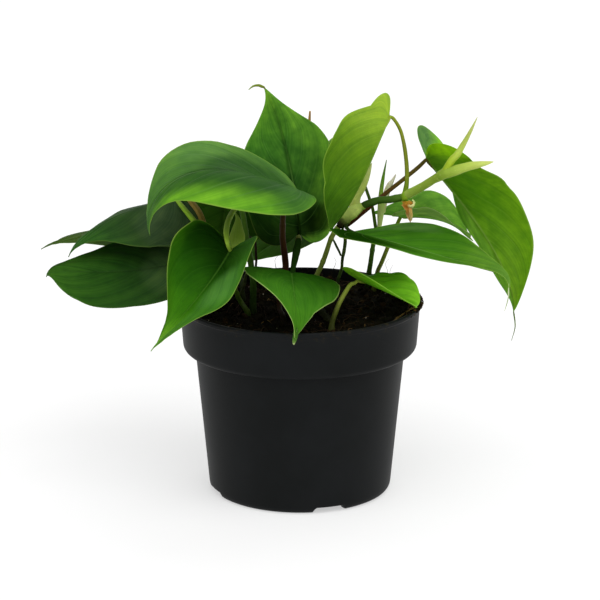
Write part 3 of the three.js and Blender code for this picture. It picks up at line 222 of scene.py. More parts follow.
def surface(p, x, y, side, fr):
    ys, C, d, b, nn = fr
    s = "R" if side > 0 else "L"
    m = np.interp(y, YK, [p["m" + s + "0"], p["m" + s + "0"], p["m" + s + "1"], p["m" + s + "2"], p["m" + s + "3"]])
    y = np.where(y < 0, y * p["lobe"], y)
    a = x * m * p["L"]
    yc = np.clip(y, 0, 1)
    f = np.radians(p["f" + s + "0"] + (p["f" + s + "1"] - p["f" + s + "0"]) * yc)
    k = np.radians(p["c" + s]) / (0.43 * p["L"]) * np.ones_like(a)
    k = np.where(np.abs(k) < 1e-6, 1e-6, k)
    ob = (np.sin(f + k * a) - np.sin(f)) / k
    on = (np.cos(f) - np.cos(f + k * a)) / k
    on = on + p["wa"] * np.sin(2 * np.pi * p["wn"] * yc + p["wp"] + (0 if side > 0 else 2.0)) * (x / 0.42) ** 2
    return at(ys, C, y) + at(ys, b, y) * (ob * side)[..., None] + at(ys, nn, y) * on[..., None]


def outline(t):
    e = cr(MARGIN, t)
    # the notch side runs straight from the stalk to the first margin point
    return np.maximum(e[..., 0], 0), e[..., 1], e[..., 2]


# ---------------------------------------------------------------- mesh helpers
def new_object(name, verts, faces, mat, attrs=None, merge=0.0, weld=True, flat=False):
    me = bpy.data.meshes.new(name)
    me.from_pydata((np.asarray(verts) * 0.001).tolist(), [], [list(map(int, f)) for f in faces])
    for key, val in (attrs or {}).items():
        val = np.asarray(val, np.float32)
        kind = "FLOAT" if val.ndim == 1 else "FLOAT_VECTOR"
        a = me.attributes.new(key, kind, "POINT")
        a.data.foreach_set("value" if kind == "FLOAT" else "vector", val.ravel())
    bm = bmesh.new()
    bm.from_mesh(me)
    if weld:
        bmesh.ops.remove_doubles(bm, verts=bm.verts, dist=2e-6)
        bmesh.ops.dissolve_degenerate(bm, edges=bm.edges, dist=1e-6)
    bmesh.ops.recalc_face_normals(bm, faces=bm.faces)
    bm.to_mesh(me)
    bm.free()
    me.polygons.foreach_set("use_smooth", [not flat] * len(me.polygons))
    me.materials.append(mat)
    ob = bpy.data.objects.new(name, me)
    bpy.context.scene.collection.objects.link(ob)
    return ob


def place(ob, slot, *nodes):
    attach(ob, "root")
    if nodes:
        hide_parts(*nodes)
    return ob


def grid_faces(n, m, off=0, closed=False):
    f = []
    for i in range(n - 1):
        for k in range(m if closed else m - 1):
            a, b = off + i * m + k, off + i * m + (k + 1) % m
            f.append((a, b, b + m, a + m))
    return f


# ---------------------------------------------------------------- node helpers
class Nodes:
    def __init__(self, name):
        self.mat = bpy.data.materials.new(name)
        self.mat.use_nodes = True
        self.t = self.mat.node_tree
        self.t.nodes.clear()
        self.out = self.t.nodes.new("ShaderNodeOutputMaterial")
        self.bsdf = self.t.nodes.new("ShaderNodeBsdfPrincipled")
        self.t.links.new(self.bsdf.outputs[0], self.out.inputs[0])

    def put(self, socket, value):
        if isinstance(value, bpy.types.NodeSocket):
            self.t.links.new(value, socket)
        else:
            socket.default_value = value

    def math(self, op, a, b=0.0, c=0.0, clamp=False):
        n = self.t.nodes.new("ShaderNodeMath")
        n.operation, n.use_clamp = op, clamp
        self.put(n.inputs[0], a)
        self.put(n.inputs[1], b)
        if op in ("MULTIPLY_ADD", "SMOOTH_MIN", "SMOOTH_MAX", "COMPARE", "WRAP"):
            self.put(n.inputs[2], c)
        return n.outputs[0]

    def add(self, a, b):
        return self.math("ADD", a, b)

    def mul(self, a, b):
        return self.math("MULTIPLY", a, b)

    def step(self, x, a, b, lo=0.0, hi=1.0):
        n = self.t.nodes.new("ShaderNodeMapRange")
        n.interpolation_type = "SMOOTHSTEP"
        self.put(n.inputs["Value"], x)
        n.inputs["From Min"].default_value, n.inputs["From Max"].default_value = a, b
        n.inputs["To Min"].default_value, n.inputs["To Max"].default_value = lo, hi
        return n.outputs["Result"]

    def mix(self, a, b, fac, blend="MIX"):
        n = self.t.nodes.new("ShaderNodeMix")
        n.data_type, n.blend_type = "RGBA", blend
        self.put(n.inputs[0], fac)
        for s, v in ((n.inputs[6], a), (n.inputs[7], b)):
            self.put(s, v if isinstance(v, bpy.types.NodeSocket) else (*v, 1.0))
        return n.outputs[2]

    def attr(self, name):
        n = self.t.nodes.new("ShaderNodeAttribute")
        n.attribute_name = name
        return n

    def xyz(self, v):
        n = self.t.nodes.new("ShaderNodeSeparateXYZ")
        self.put(n.inputs[0], v)
        return n.outputs

    def vec(self, x=0.0, y=0.0, z=0.0):
        n = self.t.nodes.new("ShaderNodeCombineXYZ")
        for s, v in zip(n.inputs, (x, y, z)):
            self.put(s, v)
        return n.outputs[0]

    def obj(self):
        return self.t.nodes.new("ShaderNodeTexCoord").outputs["Object"]

    def noise(self, v, scale, detail=2.0, rough=0.5, distort=0.0):
        n = self.t.nodes.new("ShaderNodeTexNoise")
        self.put(n.inputs["Vector"], v)
        n.inputs["Scale"].default_value = scale
        n.inputs["Detail"].default_value = detail
        n.inputs["Roughness"].default_value = rough
        n.inputs["Distortion"].default_value = distort
        return n.outputs[0]

    def voronoi(self, v, scale, feature="F1"):
        n = self.t.nodes.new("ShaderNodeTexVoronoi")
        n.feature = feature
        self.put(n.inputs["Vector"], v)
        n.inputs["Scale"].default_value = scale
        return n.outputs[0]

    def ramp(self, x, *stops):
        n = self.t.nodes.new("ShaderNodeValToRGB")
        self.put(n.inputs[0], x)
        e = n.color_ramp.elements
        while len(e) < len(stops):
            e.new(0.5)
        for k, (pos, col) in zip(e, stops):
            k.position, k.color = pos, (*col, 1.0)
        return n.outputs[0]

    def bump(self, height, strength, distance, normal=None):
        n = self.t.nodes.new("ShaderNodeBump")
        n.inputs["Strength"].default_value = strength
        n.inputs["Distance"].default_value = distance
        self.put(n.inputs["Height"], height)
        if normal is not None:
            self.put(n.inputs["Normal"], normal)
        return n.outputs[0]

    def finish(self, colour, rough, normal=None, **sockets):
        p = self.bsdf.inputs
        self.put(p["Base Color"], colour)
        self.put(p["Roughness"], rough)
        if normal is not None:
            self.put(p["Normal"], normal)
        for k, v in sockets.items():
            p[k.replace("_", " ")].default_value = v
        return self.mat


def lin(r, g, b):
    """0-255 screen values to linear"""
    return tuple((c / 255 / 12.92) if c <= 10 else (((c / 255) + 0.055) / 1.055) ** 2.4 for c in (r, g, b))


# ---------------------------------------------------------------- materials
def leaf_material(name, q):
    """Leaf blade. Attributes: lf = (signed fraction across, along, vein phase), lg = (underside, rim, 0).

    along: colours from the lobes (-0.2) to the tip (1), on some leaves with painted shade at the base; right / left:
    (colour, amount, from, to) towards that margin, on some leaves painted light;
    patches: soft blotches, some of them painted shade and painted highlights (across, along, half width, half length,
    colour, strength)."""
    n = Nodes(name)
    g = q.get("gain", 1.0)
    C = lambda c: tuple(v * g for v in lin(*c))
    s, y, ph = n.xyz(n.attr("lf").outputs["Vector"])[:3]
    under, rim, _ = n.xyz(n.attr("lg").outputs["Vector"])[:3]
    a = n.math("ABSOLUTE", s)
    right = n.step(s, -0.1, 0.1)
    left = n.math("SUBTRACT", 1.0, right)
    pos = n.obj()
    cloud = n.noise(pos, q.get("cs", 60.0), 3.0, 0.55)
    wob = n.math("SUBTRACT", cloud, 0.5)
    streak = n.noise(n.vec(n.mul(ph, 5.5), n.mul(a, 0.9), n.mul(s, 0.3)), 1.0, 3.0, 0.6)
    fine = n.noise(n.vec(n.mul(ph, 26.0), n.mul(a, 2.2), 0.0), 1.0, 2.0, 0.6)
    yy = n.add(n.mul(n.add(y, 0.2), 1 / 1.2), n.mul(wob, 0.14))
    r = n.ramp(yy, *[((u + 0.2) / 1.2, C(c)) for u, c in q["along"]])
    r.node.color_ramp.interpolation = "B_SPLINE" if len(q["along"]) > 3 else "LINEAR"
    col = r
    for key, side in (("right", right), ("left", left)):
        if key in q:
            c, amount, lo, hi = q[key]
            col = n.mix(col, C(c), n.math("MULTIPLY", n.mul(n.step(n.add(a, n.mul(wob, q.get("ragged", 0.35))), lo, hi), amount), side, clamp=True))
    for cs, cy, rs, ry, c, amount in q.get("patches", ()):
        u = n.mul(n.add(s, -cs), 1 / rs)
        v = n.mul(n.add(y, -cy), 1 / ry)
        d = n.add(n.add(n.mul(u, u), n.mul(v, v)), n.mul(wob, 0.5))
        col = n.mix(col, C(c), n.step(d, 1.5, 0.0, 0.0, amount))
    # streaks that run with the veins, and soft clouding
    st = q.get("streak", 0.3)
    st *= 0.5
    k = n.add(1.0 - 0.5 * st, n.mul(n.step(streak, 0.3, 0.7), st))
    k = n.mul(k, n.add(0.96, n.mul(n.step(fine, 0.3, 0.7), 0.08)))
    blot = n.noise(pos, q.get("cs", 60.0) * 2.6, 2.0, 0.5)
    mo = 0.6 * q.get("mottle", 0.22)
    k = n.mul(k, n.add(1.0 - 0.5 * mo, n.mul(n.step(cloud, 0.34, 0.66), mo)))
    k = n.mul(k, n.add(1.0 - 0.3 * mo, n.mul(n.step(blot, 0.32, 0.68), 0.6 * mo)))
    # the blade swells between its side veins: painted shade towards each vein and a painted highlight on the crown
    fr = n.math("FRACT", n.mul(ph, VEINS))
    off = n.math("ABSOLUTE", n.math("SUBTRACT", fr, 0.5))
    pl = n.mul(n.mul(0.6 * q.get("pleat_shade", 0.2), n.step(y, 1.0, 0.75)), n.add(0.6, n.mul(cloud, 0.8)))
    k = n.mul(k, n.add(1.0, n.mul(pl, n.math("SUBTRACT", n.step(off, 0.04, 0.36), 0.55))))
    col = n.mix(col, n.vec(n.math("POWER", k, 1.4), k, n.math("POWER", k, 0.8)), 1.0, "MULTIPLY")
    # underside, a little paler and greyer
    col = n.mix(col, C(q.get("under", q["along"][len(q["along"]) // 2][1])), n.mul(under, q.get("um", 0.0)))
    # side veins and midrib, with painted shade along the midrib groove
    vein = n.step(off, q.get("vw", 0.05), 0.0)
    vein = n.mul(vein, n.step(a, 1.0, 0.6, 0.25, 1.0))
    col = n.mix(col, C(q["vein"]), n.mul(vein, q.get("vv", 0.12)))
    # painted shade: the blade is darkened towards black beside the midrib
    shade = n.mul(n.step(a, q.get("sw", 0.12), 0.02), n.step(y, 1.0, 0.6))
    col = n.mix(col, (0.0, 0.0, 0.0), n.mul(shade, q.get("sd", 0.12)))
    rib = n.mul(n.step(a, q.get("rw", 0.03), 0.006), n.step(y, 1.0, 0.75, 0.3, 1.0))
    if "far" in q:
        rib = n.mul(rib, n.step(y, 0.55, 0.2, q["far"], 1.0))
    col = n.mix(col, C(q["vein"]), n.mul(rib, q.get("rib", 0.4)))
    rimmask = n.math("ADD", n.step(a, 0.975, 1.0), rim, clamp=True)
    col = n.mix(col, C(q.get("edge", (150, 180, 78))), n.mul(rimmask, q.get("ev", 0.5)))
    rough = n.add(n.add(q.get("rough", 0.42), n.mul(wob, 0.2)), n.mul(under, 0.14))
    groove = n.mul(n.step(off, 0.2, 0.0), -1.0)
    micro = n.noise(pos, 2600.0, 2.0, 0.5)
    h = n.add(n.add(groove, n.mul(fine, 0.5)), n.add(n.mul(streak, 0.6), n.mul(micro, 0.12)))
    h = n.add(h, n.mul(cloud, 1.6))
    nor = n.bump(h, 0.45, 0.0003)
    return n.finish(col, rough, nor, Specular_IOR_Level=q.get("spec", 0.1), Subsurface_Weight=q.get("sss", 0.1),
                    Subsurface_Radius=(0.6, 1.0, 0.15), Subsurface_Scale=0.0012)


def stalk_material(name, stops, speck, streak=0.3, rough=0.45, soil=0.6, spec=0.05, dots=0.3):
    """Stalks and stems. Attribute tb = (distance along 0..1, around 0..1, height above the soil in cm)."""
    n = Nodes(name)
    u, v, h = n.xyz(n.attr("tb").outputs["Vector"])[:3]
    pos = n.obj()
    lines = n.noise(n.vec(n.mul(v, 34.0), n.mul(u, 2.0), 0.0), 1.0, 3.0, 0.6)
    cloud = n.noise(pos, 130.0, 3.0, 0.6)
    wob = n.math("SUBTRACT", cloud, 0.5)
    r = n.ramp(n.add(u, n.mul(wob, 0.3)), *[(p, lin(*c)) for p, c in stops])
    k = n.add(1.0 - streak * 0.5, n.mul(lines, streak))
    k = n.mul(k, n.add(0.85, n.mul(cloud, 0.3)))
    col = n.mix(r, n.vec(k, k, k), 1.0, "MULTIPLY")
    spots = n.step(n.noise(pos, 900.0, 2.0, 0.5), 0.62, 0.74)
    col = n.mix(col, lin(*speck), n.mul(spots, dots))
    col = n.mix(col, lin(27, 22, 11), n.mul(n.step(h, 1.5, -0.1), soil))
    bumps = n.add(n.mul(lines, 0.7), n.mul(n.noise(pos, 1500.0, 3.0, 0.6), 0.3))
    return n.finish(col, n.add(rough, n.mul(wob, 0.2)), n.bump(bumps, 0.4, 0.00018), Specular_IOR_Level=spec,
                    Subsurface_Weight=0.08, Subsurface_Radius=(0.6, 1.0, 0.2), Subsurface_Scale=0.0015)


def sheath_material(name, stops, line, rough=0.55, edge=0.4, ribs_mix=0.4, edge_side=0.0, spec=0.12):
    """Thin dry or papery sheaths. Attribute sh = (across, along, 0)."""
    n = Nodes(name)
    v, u, _ = n.xyz(n.attr("sh").outputs["Vector"])[:3]
    pos = n.obj()
    ribs = n.noise(n.vec(n.mul(v, 30.0), n.mul(u, 1.6), 0.0), 1.0, 3.0, 0.6)
    cloud = n.noise(pos, 170.0, 3.0, 0.6)
    col = n.ramp(n.add(u, n.mul(n.math("SUBTRACT", cloud, 0.5), 0.5)), *[(p, lin(*c)) for p, c in stops])
    col = n.mix(col, lin(*line), n.mul(n.step(ribs, 0.5, 0.68), ribs_mix))
    e = n.step(n.math("ABSOLUTE", n.math("SUBTRACT", v, 0.5 - edge_side)), 0.4, 0.5)
    col = n.mix(col, lin(*line), n.mul(e, edge))
    k = n.add(0.84, n.mul(cloud, 0.32))
    col = n.mix(col, n.vec(k, k, k), 1.0, "MULTIPLY")
    return n.finish(col, rough, n.bump(ribs, 0.5, 0.00025), Specular_IOR_Level=spec, Subsurface_Weight=0.12, Subsurface_Radius=(1.0, 0.9, 0.3), Subsurface_Scale=0.001)


def pot_material():
    """Matte black injection-moulded plastic: fine texture, faint rings, scuffs and a little dust."""
    n = Nodes("pot_plastic")
    pos = n.obj()
    x, y, z = n.xyz(pos)[:3]
    cloud = n.noise(pos, 22.0, 4.0, 0.6)
    grain = n.noise(pos, 1900.0, 3.0, 0.6)
    rings = n.noise(n.vec(0.0, 0.0, n.mul(z, 900.0)), 1.0, 2.0, 0.5)
    drag = n.noise(n.vec(n.mul(x, 260.0), n.mul(y, 260.0), n.mul(z, 22.0)), 1.0, 3.0, 0.6)
    col = n.mix(lin(14, 16, 16), lin(20, 22, 23), n.step(cloud, 0.32, 0.72))
    k = n.add(0.88, n.mul(grain, 0.24))
    col = n.mix(col, n.vec(k, k, k), 1.0, "MULTIPLY")
    scuff = n.mul(n.step(n.noise(n.vec(n.mul(x, 60.0), n.mul(y, 60.0), n.mul(z, 420.0)), 1.0, 4.0, 0.7), 0.64, 0.8), 0.2)
    col = n.mix(col, lin(40, 42, 43), scuff)
    dust = n.mul(n.mul(n.step(z, 0.089, 0.0962), n.step(n.noise(pos, 300.0, 4.0, 0.7), 0.54, 0.7)), 0.6)
    col = n.mix(col, lin(52, 44, 24), dust)
    rough = n.add(0.5, n.add(n.mul(n.math("SUBTRACT", cloud, 0.5), 0.16), n.mul(scuff, 0.4)))
    h = n.add(n.mul(grain, 0.5), n.add(n.mul(rings, 0.35), n.mul(drag, 0.5)))
    return n.finish(col, rough, n.bump(h, 0.3, 0.0001), Specular_IOR_Level=0.08)


def soil_material(name, dark, mid, light, amount=0.3):
    n = Nodes(name)
    pos = n.obj()
    big = n.noise(pos, 140.0, 4.0, 0.65)
    small = n.noise(pos, 1100.0, 4.0, 0.7)
    col = n.mix(dark, mid, n.step(big, 0.38, 0.68))
    col = n.mix(col, light, n.mul(n.step(small, 0.55, 0.75), amount))
    k = n.add(0.55, n.mul(small, 0.9))
    col = n.mix(col, n.vec(k, k, k), 1.0, "MULTIPLY")
    h = n.add(n.mul(big, 0.6), small)
    return n.finish(col, 0.95, n.bump(h, 0.8, 0.0006), Specular_IOR_Level=0.04)


def fibre_material(name, a, b, rough=0.75):
    n = Nodes(name)
    pos = n.obj()
    c = n.noise(pos, 90.0, 3.0, 0.6)
    g = n.noise(pos, 2600.0, 3.0, 0.6)
    col = n.mix(a, b, n.step(c, 0.35, 0.65))
    k = n.add(0.75, n.mul(g, 0.5))
    col = n.mix(col, n.vec(k, k, k), 1.0, "MULTIPLY")
    return n.finish(col, rough, n.bump(g, 0.5, 0.0002), Specular_IOR_Level=0.1)


# ---------------------------------------------------------------- leaves
VEINS = 0.62
TROWS = np.concatenate([np.linspace(1, 5.5, 27)[:-1], np.linspace(5.5, 12, 32)[:-1], np.linspace(12, 14, 12)])
SCOLS = np.array([0, 0.012, 0.028, 0.05, 0.085, 0.13, 0.19, 0.26, 0.33, 0.41, 0.49, 0.57, 0.65, 0.73, 0.8, 0.87, 0.925, 0.965, 0.988, 1.0])
THICK = 0.34


def leaf_object(name, mat, slot, groove=0.3, ridge=0.75, pillow=0.2, wave=0.35):
    p = LEAVES[name]
    fr = frames(p)
    seed = float(int(name[-2:]))
    K, N = len(SCOLS) - 1, len(TROWS)
    ex, ey, ym = outline(TROWS)
    tops, bots, mids, lf = [], [], [], []
    for side in (-1, 1):
        s = SCOLS[None, :]
        curve = 1.0 + 0.28 * smooth(3.0, 6.5, TROWS)[:, None]
        x = ex[:, None] * s
        y = ym[:, None] + (ey - ym)[:, None] * s**curve
        P = surface(p, x, y, side, fr)
        e = 0.004
        dx = (surface(p, x + e, y, side, fr) - surface(p, np.maximum(x - e, 0), y, side, fr)) * side
        dy = surface(p, x, y + e, side, fr) - surface(p, x, y - e, side, fr)
        nrm = unit(np.cross(dx, dy))
        t = TROWS[:, None] + 0 * s
        ph = t - 3.4 * smooth(2.0, 7.0, t) * (-np.log(1 - s / 1.15) / 2.04)
        lf.append(np.stack([s * side + 0 * t, y + 0 * s, ph], -1))
        mids.append((P, nrm, x, y, t, s + 0 * t, ph))
    # one normal along the midrib
    shared = unit(mids[0][1][:, 0] + mids[1][1][:, 0])
    cols = []
    for side, (P, nrm, x, y, t, s, ph) in zip((-1, 1), mids):
        nrm = nrm.copy()
        w = np.exp(-((s / 0.03) ** 2))[..., None]
        nrm = unit(nrm * (1 - w) + shared[:, None] * w)
        fade = smooth(1.0, 0.82, y) * 0.8 + 0.2
        dist = x * p["L"]                      # mm from the midrib
        wide = 1.15 * (1 - 0.6 * np.clip(y, 0, 1))
        rib = np.exp(-((dist / wide) ** 2)) * fade * smooth(-0.02, 0.03, y + 0.02)
        f = ph * VEINS
        pil = 0.5 + 0.5 * np.cos(2 * np.pi * f)     # 1 between the veins
        env = np.clip(4 * s * (1 - s), 0, 1) ** 0.6 * smooth(1.0, 0.7, y)
        relief = pillow * (pil - 0.5) * env
        wav = wave * s**2.2 * (vnoise(np.stack([t * 0.85, 0 * t + side * 3.1, 0 * t + seed], -1), seed) + 0.45 * vnoise(np.stack([t * 2.3, 0 * t + side * 5.7, 0 * t + seed], -1), seed + 3)) * smooth(14, 12, t) * smooth(1.0, 2.2, t)
        slim = 1 - 0.45 * s**6
        top = P + nrm * (wav + relief + THICK / 2 * slim - groove * rib)[..., None]
        bot = P + nrm * (wav + relief * 0.8 - THICK / 2 * slim - ridge * rib)[..., None]
        mid = P + nrm * wav[..., None]
        cols.append((top, bot, mid, nrm))
    # one grid across both halves
    def join(a, b):
        return np.concatenate([a[:, :0:-1], b], 1)
    top, bot, mid = (join(cols[0][i], cols[1][i]) for i in range(3))
    A = join(lf[0], lf[1])
    M = 2 * K + 1
    V = [top.reshape(-1, 3), bot.reshape(-1, 3)]
    F = grid_faces(N, M) + [f[::-1] for f in grid_faces(N, M, N * M)]
    # rim: a rounded edge outside the blade's outline
    loop = [k for k in range(K, M)] + [i * M + M - 1 for i in range(1, N)] + [i * M for i in range(N - 2, -1, -1)] + [k for k in range(1, K)]
    flat_top, flat_bot = V[0], V[1]
    c = mid.reshape(-1, 3)
    rim = []
    L = len(loop)
    for q, i in enumerate(loop):
        r, k = divmod(i, M)
        if r == 0 and k not in (0, M - 1):
            out = mid[0, k] - mid[1, k]
        else:
            out = mid[r, k] - mid[r, k - 1 if k == M - 1 else k + 1]
        o = np.linalg.norm(out)
        rim.append(c[i] + (out / o * 0.1 if o > 1e-6 else 0))
    base = 2 * N * M
    V.append(np.array(rim))
    for q in range(L):
        a, b = loop[q], loop[(q + 1) % L]
        ra, rb = base + q, base + (q + 1) % L
        F.append((a, b, rb, ra))
        F.append((ra, rb, N * M + b, N * M + a))
    V = np.concatenate(V)
    Af = A.reshape(-1, 3)
    lfa = np.concatenate([Af, Af, Af[loop]])
    lga = np.concatenate([np.tile([0, 0, 0], (N * M, 1)), np.tile([1, 0, 0], (N * M, 1)), np.tile([0.5, 1, 0], (L, 1))]).astype(float)
    ob = new_object(name + "_blade", V, F, mat, {"lf": lfa, "lg": lga})
    return place(ob, slot, name)


# ---------------------------------------------------------------- tubes
def resample(pts, step):
    pts = np.asarray(pts, float)
    fine = cr(pts, np.linspace(0, len(pts) - 1, 60 * len(pts)))
    d = np.r_[0, np.cumsum(np.linalg.norm(np.diff(fine, axis=0), axis=1))]
    n = max(4, int(d[-1] / step) + 1)
    q = np.linspace(0, d[-1], n)
    t = np.interp(q, d, np.linspace(0, len(pts) - 1, len(fine)))
    return cr(pts, t), t, q


def sweep(C, R, sides=16, seed=0.0, rough=0.04, groove=0.0, up=(0, 0, 1), squash=1.0, cap=True):
    T = unit(np.gradient(C, axis=0))
    u = unit(np.cross(T[0], np.array([0.3, 0.5, 0.81])))
    V, tb = [], []
    n = len(C)
    d = np.r_[0, np.cumsum(np.linalg.norm(np.diff(C, axis=0), axis=1))]
    ang = np.linspace(0, 2 * np.pi, sides, endpoint=False)
    for i in range(n):
        u = unit(u - T[i] * (u @ T[i]))
        w = np.cross(T[i], u)
        ring = np.cos(ang)[:, None] * u + np.sin(ang)[:, None] * w
        k = 1 + rough * vnoise(np.stack([np.cos(ang) * 1.3 + seed, np.sin(ang) * 1.3, 0 * ang + d[i] * 0.35], -1), seed)
        if groove:
            g = unit(np.asarray(up, float) - T[i] * (np.asarray(up, float) @ T[i]))
            k = k - groove * np.exp(-(((1 - ring @ g) / 0.12) ** 2))
        V.append(C[i] + ring * (R[i] * k)[:, None])
        tb.append(np.stack([np.full(sides, i / (n - 1)), ang / (2 * np.pi), np.full(sides, (C[i, 2] - 90) / 10)], -1))
    V, tb = np.concatenate(V), np.concatenate(tb)
    F = grid_faces(n, sides, 0, True)
    if cap:
        for e, i, s in ((0, 0, -1), (n - 1, (n - 1) * sides, 1)):
            # two shrinking rings make a round end
            last = list(range(i, i + sides))
            for f, o in ((0.72, 0.42), (0.38, 0.68)):
                ring = C[e] + (V[i : i + sides] - C[e]) * f + T[e] * s * R[e] * o
                b = len(V)
                V = np.concatenate([V, ring])
                tb = np.concatenate([tb, tb[i : i + sides]])
                for k in range(sides):
                    a1, a2, b1, b2 = last[k], last[(k + 1) % sides], b + k, b + (k + 1) % sides
                    F.append((a1, a2, b2, b1) if s > 0 else (a2, a1, b1, b2))
                last = list(range(b, b + sides))
            b = len(V)
            V = np.concatenate([V, [C[e] + T[e] * s * R[e] * 0.78]])
            tb = np.concatenate([tb, tb[i : i + 1]])
            for k in range(sides):
                F.append((last[k], last[(k + 1) % sides], b) if s > 0 else (last[(k + 1) % sides], last[k], b))
    return V, F, tb


def merge(parts):
    V, F, A, o = [], [], [], 0
    for v, f, a in parts:
        V.append(v)
        F += [tuple(i + o for i in q) for q in f]
        A.append(a)
        o += len(v)
    return np.concatenate(V), F, np.concatenate(A)


def rings_at(C, R, places, height=0.18, width=1.0):
    """swellings on a stem at the given distances along it, in mm"""
    d = np.r_[0, np.cumsum(np.linalg.norm(np.diff(C, axis=0), axis=1))]
    R = R.copy()
    for q in places:
        q = q * d[-1]
        R = R + height * np.exp(-(((d - q) / width) ** 2)) - 0.5 * height * np.exp(-(((d - q - 1.1) / 0.5) ** 2))
    return R


def leaf_joint(leaf, r, reach=1.0, lean=0.0):
    """points and radii that take a stalk into the midrib's underside"""
    p = LEAVES[leaf]
    ys, C, d, b, nn = frames(p)
    q = lambda y: (at(ys, C, np.array(y)), at(ys, nn, np.array(y)), at(ys, b, np.array(y)))
    out = []
    for y, down, rad in ((0.0, 0.55 * r, 0.92 * r), (0.045, 0.75 * r, 0.75 * r), (0.11, 0.62 * r + 0.1, 0.5 * r), (0.2, 0.3 * r + 0.12, 0.22 * r)):
        c, m, w = q(y * reach)
        out.append((c - (m * np.cos(np.radians(lean)) - w * np.sin(np.radians(lean))) * down, rad))
    return out


def tube_object(name, mat, slot, sides=16, step=0.9, before=(), after=(), leaf=None, sink=0.0, rings=(), groove=0.0, rough=0.045, swell=None, reach=1.0, lean=0.0):
    t = TUBES[name]
    pts, rad = [np.array(q, float) for q in t["at"]], list(t["r"])
    if sink:
        d = unit(pts[0] - pts[1])
        pts = [pts[0] + np.array([d[0] * 0.5, d[1] * 0.5, -1.0]) * sink] + pts
        rad = [rad[0] * 1.02] + rad
    for q in before:
        pts.insert(0, np.array(q[:3], float))
        rad.insert(0, q[3])
    if leaf:
        r = max(rad[-2], rad[-1])
        pts, rad = pts[:-1], rad[:-1]
        for c, rr in leaf_joint(leaf, r, reach, lean):
            pts.append(c)
            rad.append(rr)
    for q in after:
        pts.append(np.array(q[:3], float))
        rad.append(q[3])
    C, tt, _ = resample(pts, step)
    R = np.interp(tt, np.arange(len(rad)), rad)
    R = rings_at(C, R, rings)
    if swell:
        d = np.linspace(0, 1, len(C))
        R = R * (1 + swell * np.exp(-((d / 0.06) ** 2)))
    V, F, tb = sweep(C, R, sides, seed=float(len(name)) + sum(map(ord, name)) * 0.01, rough=rough, groove=groove)
    return place(new_object(name + "_" + t["kind"], V, F, mat, {"tb": tb}), slot, name)


def knot_object(name, mat, slot, wide=1.0):
    """a node: a swollen joint with a leaf scar ridge around it"""
    b = NODES[name]
    c, a = np.array(b["at"]), unit(np.array(b["axis"]))
    u = unit(np.cross(a, [0, 1, 0]))
    w = np.cross(a, u)
    n, m = 26, 24
    V, tb = [], []
    for i in range(n):
        th = np.pi * (i + 0.5) / n
        ridge = 1 + 0.1 * np.exp(-(((th - 1.45) / 0.12) ** 2)) - 0.05 * np.exp(-(((th - 1.75) / 0.1) ** 2))
        for k in range(m):
            ph = 2 * np.pi * k / m
            g = 1 + 0.07 * vnoise(np.array([np.cos(ph) * 1.5, np.sin(ph) * 1.5, th * 2.0]), float(len(name)))
            r = ridge * g * wide
            V.append(c + u * b["r"][0] * r * np.sin(th) * np.cos(ph) + w * b["r"][1] * r * np.sin(th) * np.sin(ph) + a * b["r"][2] * np.cos(th))
            tb.append((i / n, k / m, (c[2] - 90) / 10))
    V, tb = np.array(V), np.array(tb)
    F = grid_faces(n, m, 0, True) + [tuple(range(m))[::-1], tuple(range((n - 1) * m, n * m))]
    return place(new_object(name + "_knot", V, F, mat, {"tb": tb}), slot, name)


def strip_object(name, mat, slot, thick=0.26, n=34, m=17, curl=0.0, seed=1.0, rag=0.0, bulge=None, own=True):
    st = SHEETS[name]
    A, B, g = (np.array([s[i] for s in st["at"]], float) for i in range(3))
    t = np.linspace(0, len(A) - 1, n)
    A, B = cr(A, t), cr(B, t)
    g = np.interp(t, np.arange(len(g)), g)
    v = np.linspace(0, 1, m)
    d = np.array(st["bulge"], float)
    G = A[:, None] * (1 - v)[None, :, None] + B[:, None] * v[None, :, None] + (g[:, None] * (1 - (2 * v - 1) ** 2)[None])[..., None] * d
    U, W = np.meshgrid(t / t[-1], v, indexing="ij")
    G = G + d * (0.25 * vnoise(np.stack([U * 5, W * 4, 0 * U + seed], -1), seed) * np.minimum(1, np.linalg.norm(B - A, axis=1) / 3)[:, None])[..., None]
    if rag:
        G = G + rag * np.stack([vnoise(np.stack([U * 9, W * 6, 0 * U + k], -1), seed + k) for k in range(3)], -1) * (np.abs(2 * W - 1) ** 2)[..., None]
    du, dv = np.gradient(G, axis=0), np.gradient(G, axis=1)
    N = unit(np.cross(du, dv))
    w = np.linalg.norm(B - A, axis=1)
    th = thick * np.clip(0.12 + w / 3, 0, 1)[:, None] * (1 - 0.55 * np.abs(2 * W - 1) ** 4)
    top, bot = G + N * (th / 2)[..., None], G - N * (th / 2)[..., None]
    V = np.concatenate([top.reshape(-1, 3), bot.reshape(-1, 3)])
    F = grid_faces(n, m) + [f[::-1] for f in grid_faces(n, m, n * m)]
    loop = [k for k in range(m)] + [i * m + m - 1 for i in range(1, n)] + [(n - 1) * m + k for k in range(m - 2, -1, -1)] + [i * m for i in range(n - 2, 0, -1)]
    for q in range(len(loop)):
        a, b = loop[q], loop[(q + 1) % len(loop)]
        F.append((b, a, a + n * m, b + n * m))
    sh = np.stack([W, U, 0 * U], -1).reshape(-1, 3)
    return place(new_object(name + "_sheet", V, F, mat, {"sh": np.concatenate([sh, sh])}), slot, *((name,) if own else ()))


# ---------------------------------------------------------------- pot
RIM, HEIGHT = 60.0, 96.4


def profile(pts, n):
    """a polyline profile cut into short steps, corners kept"""
    pts = np.asarray(pts, float)
    out = [pts[0]]
    for a, b in zip(pts[:-1], pts[1:]):
        k = max(1, int(np.ceil(np.linalg.norm(b - a) / n)))
        out += [a + (b - a) * i / k for i in range(1, k + 1)]
    return np.array(out)


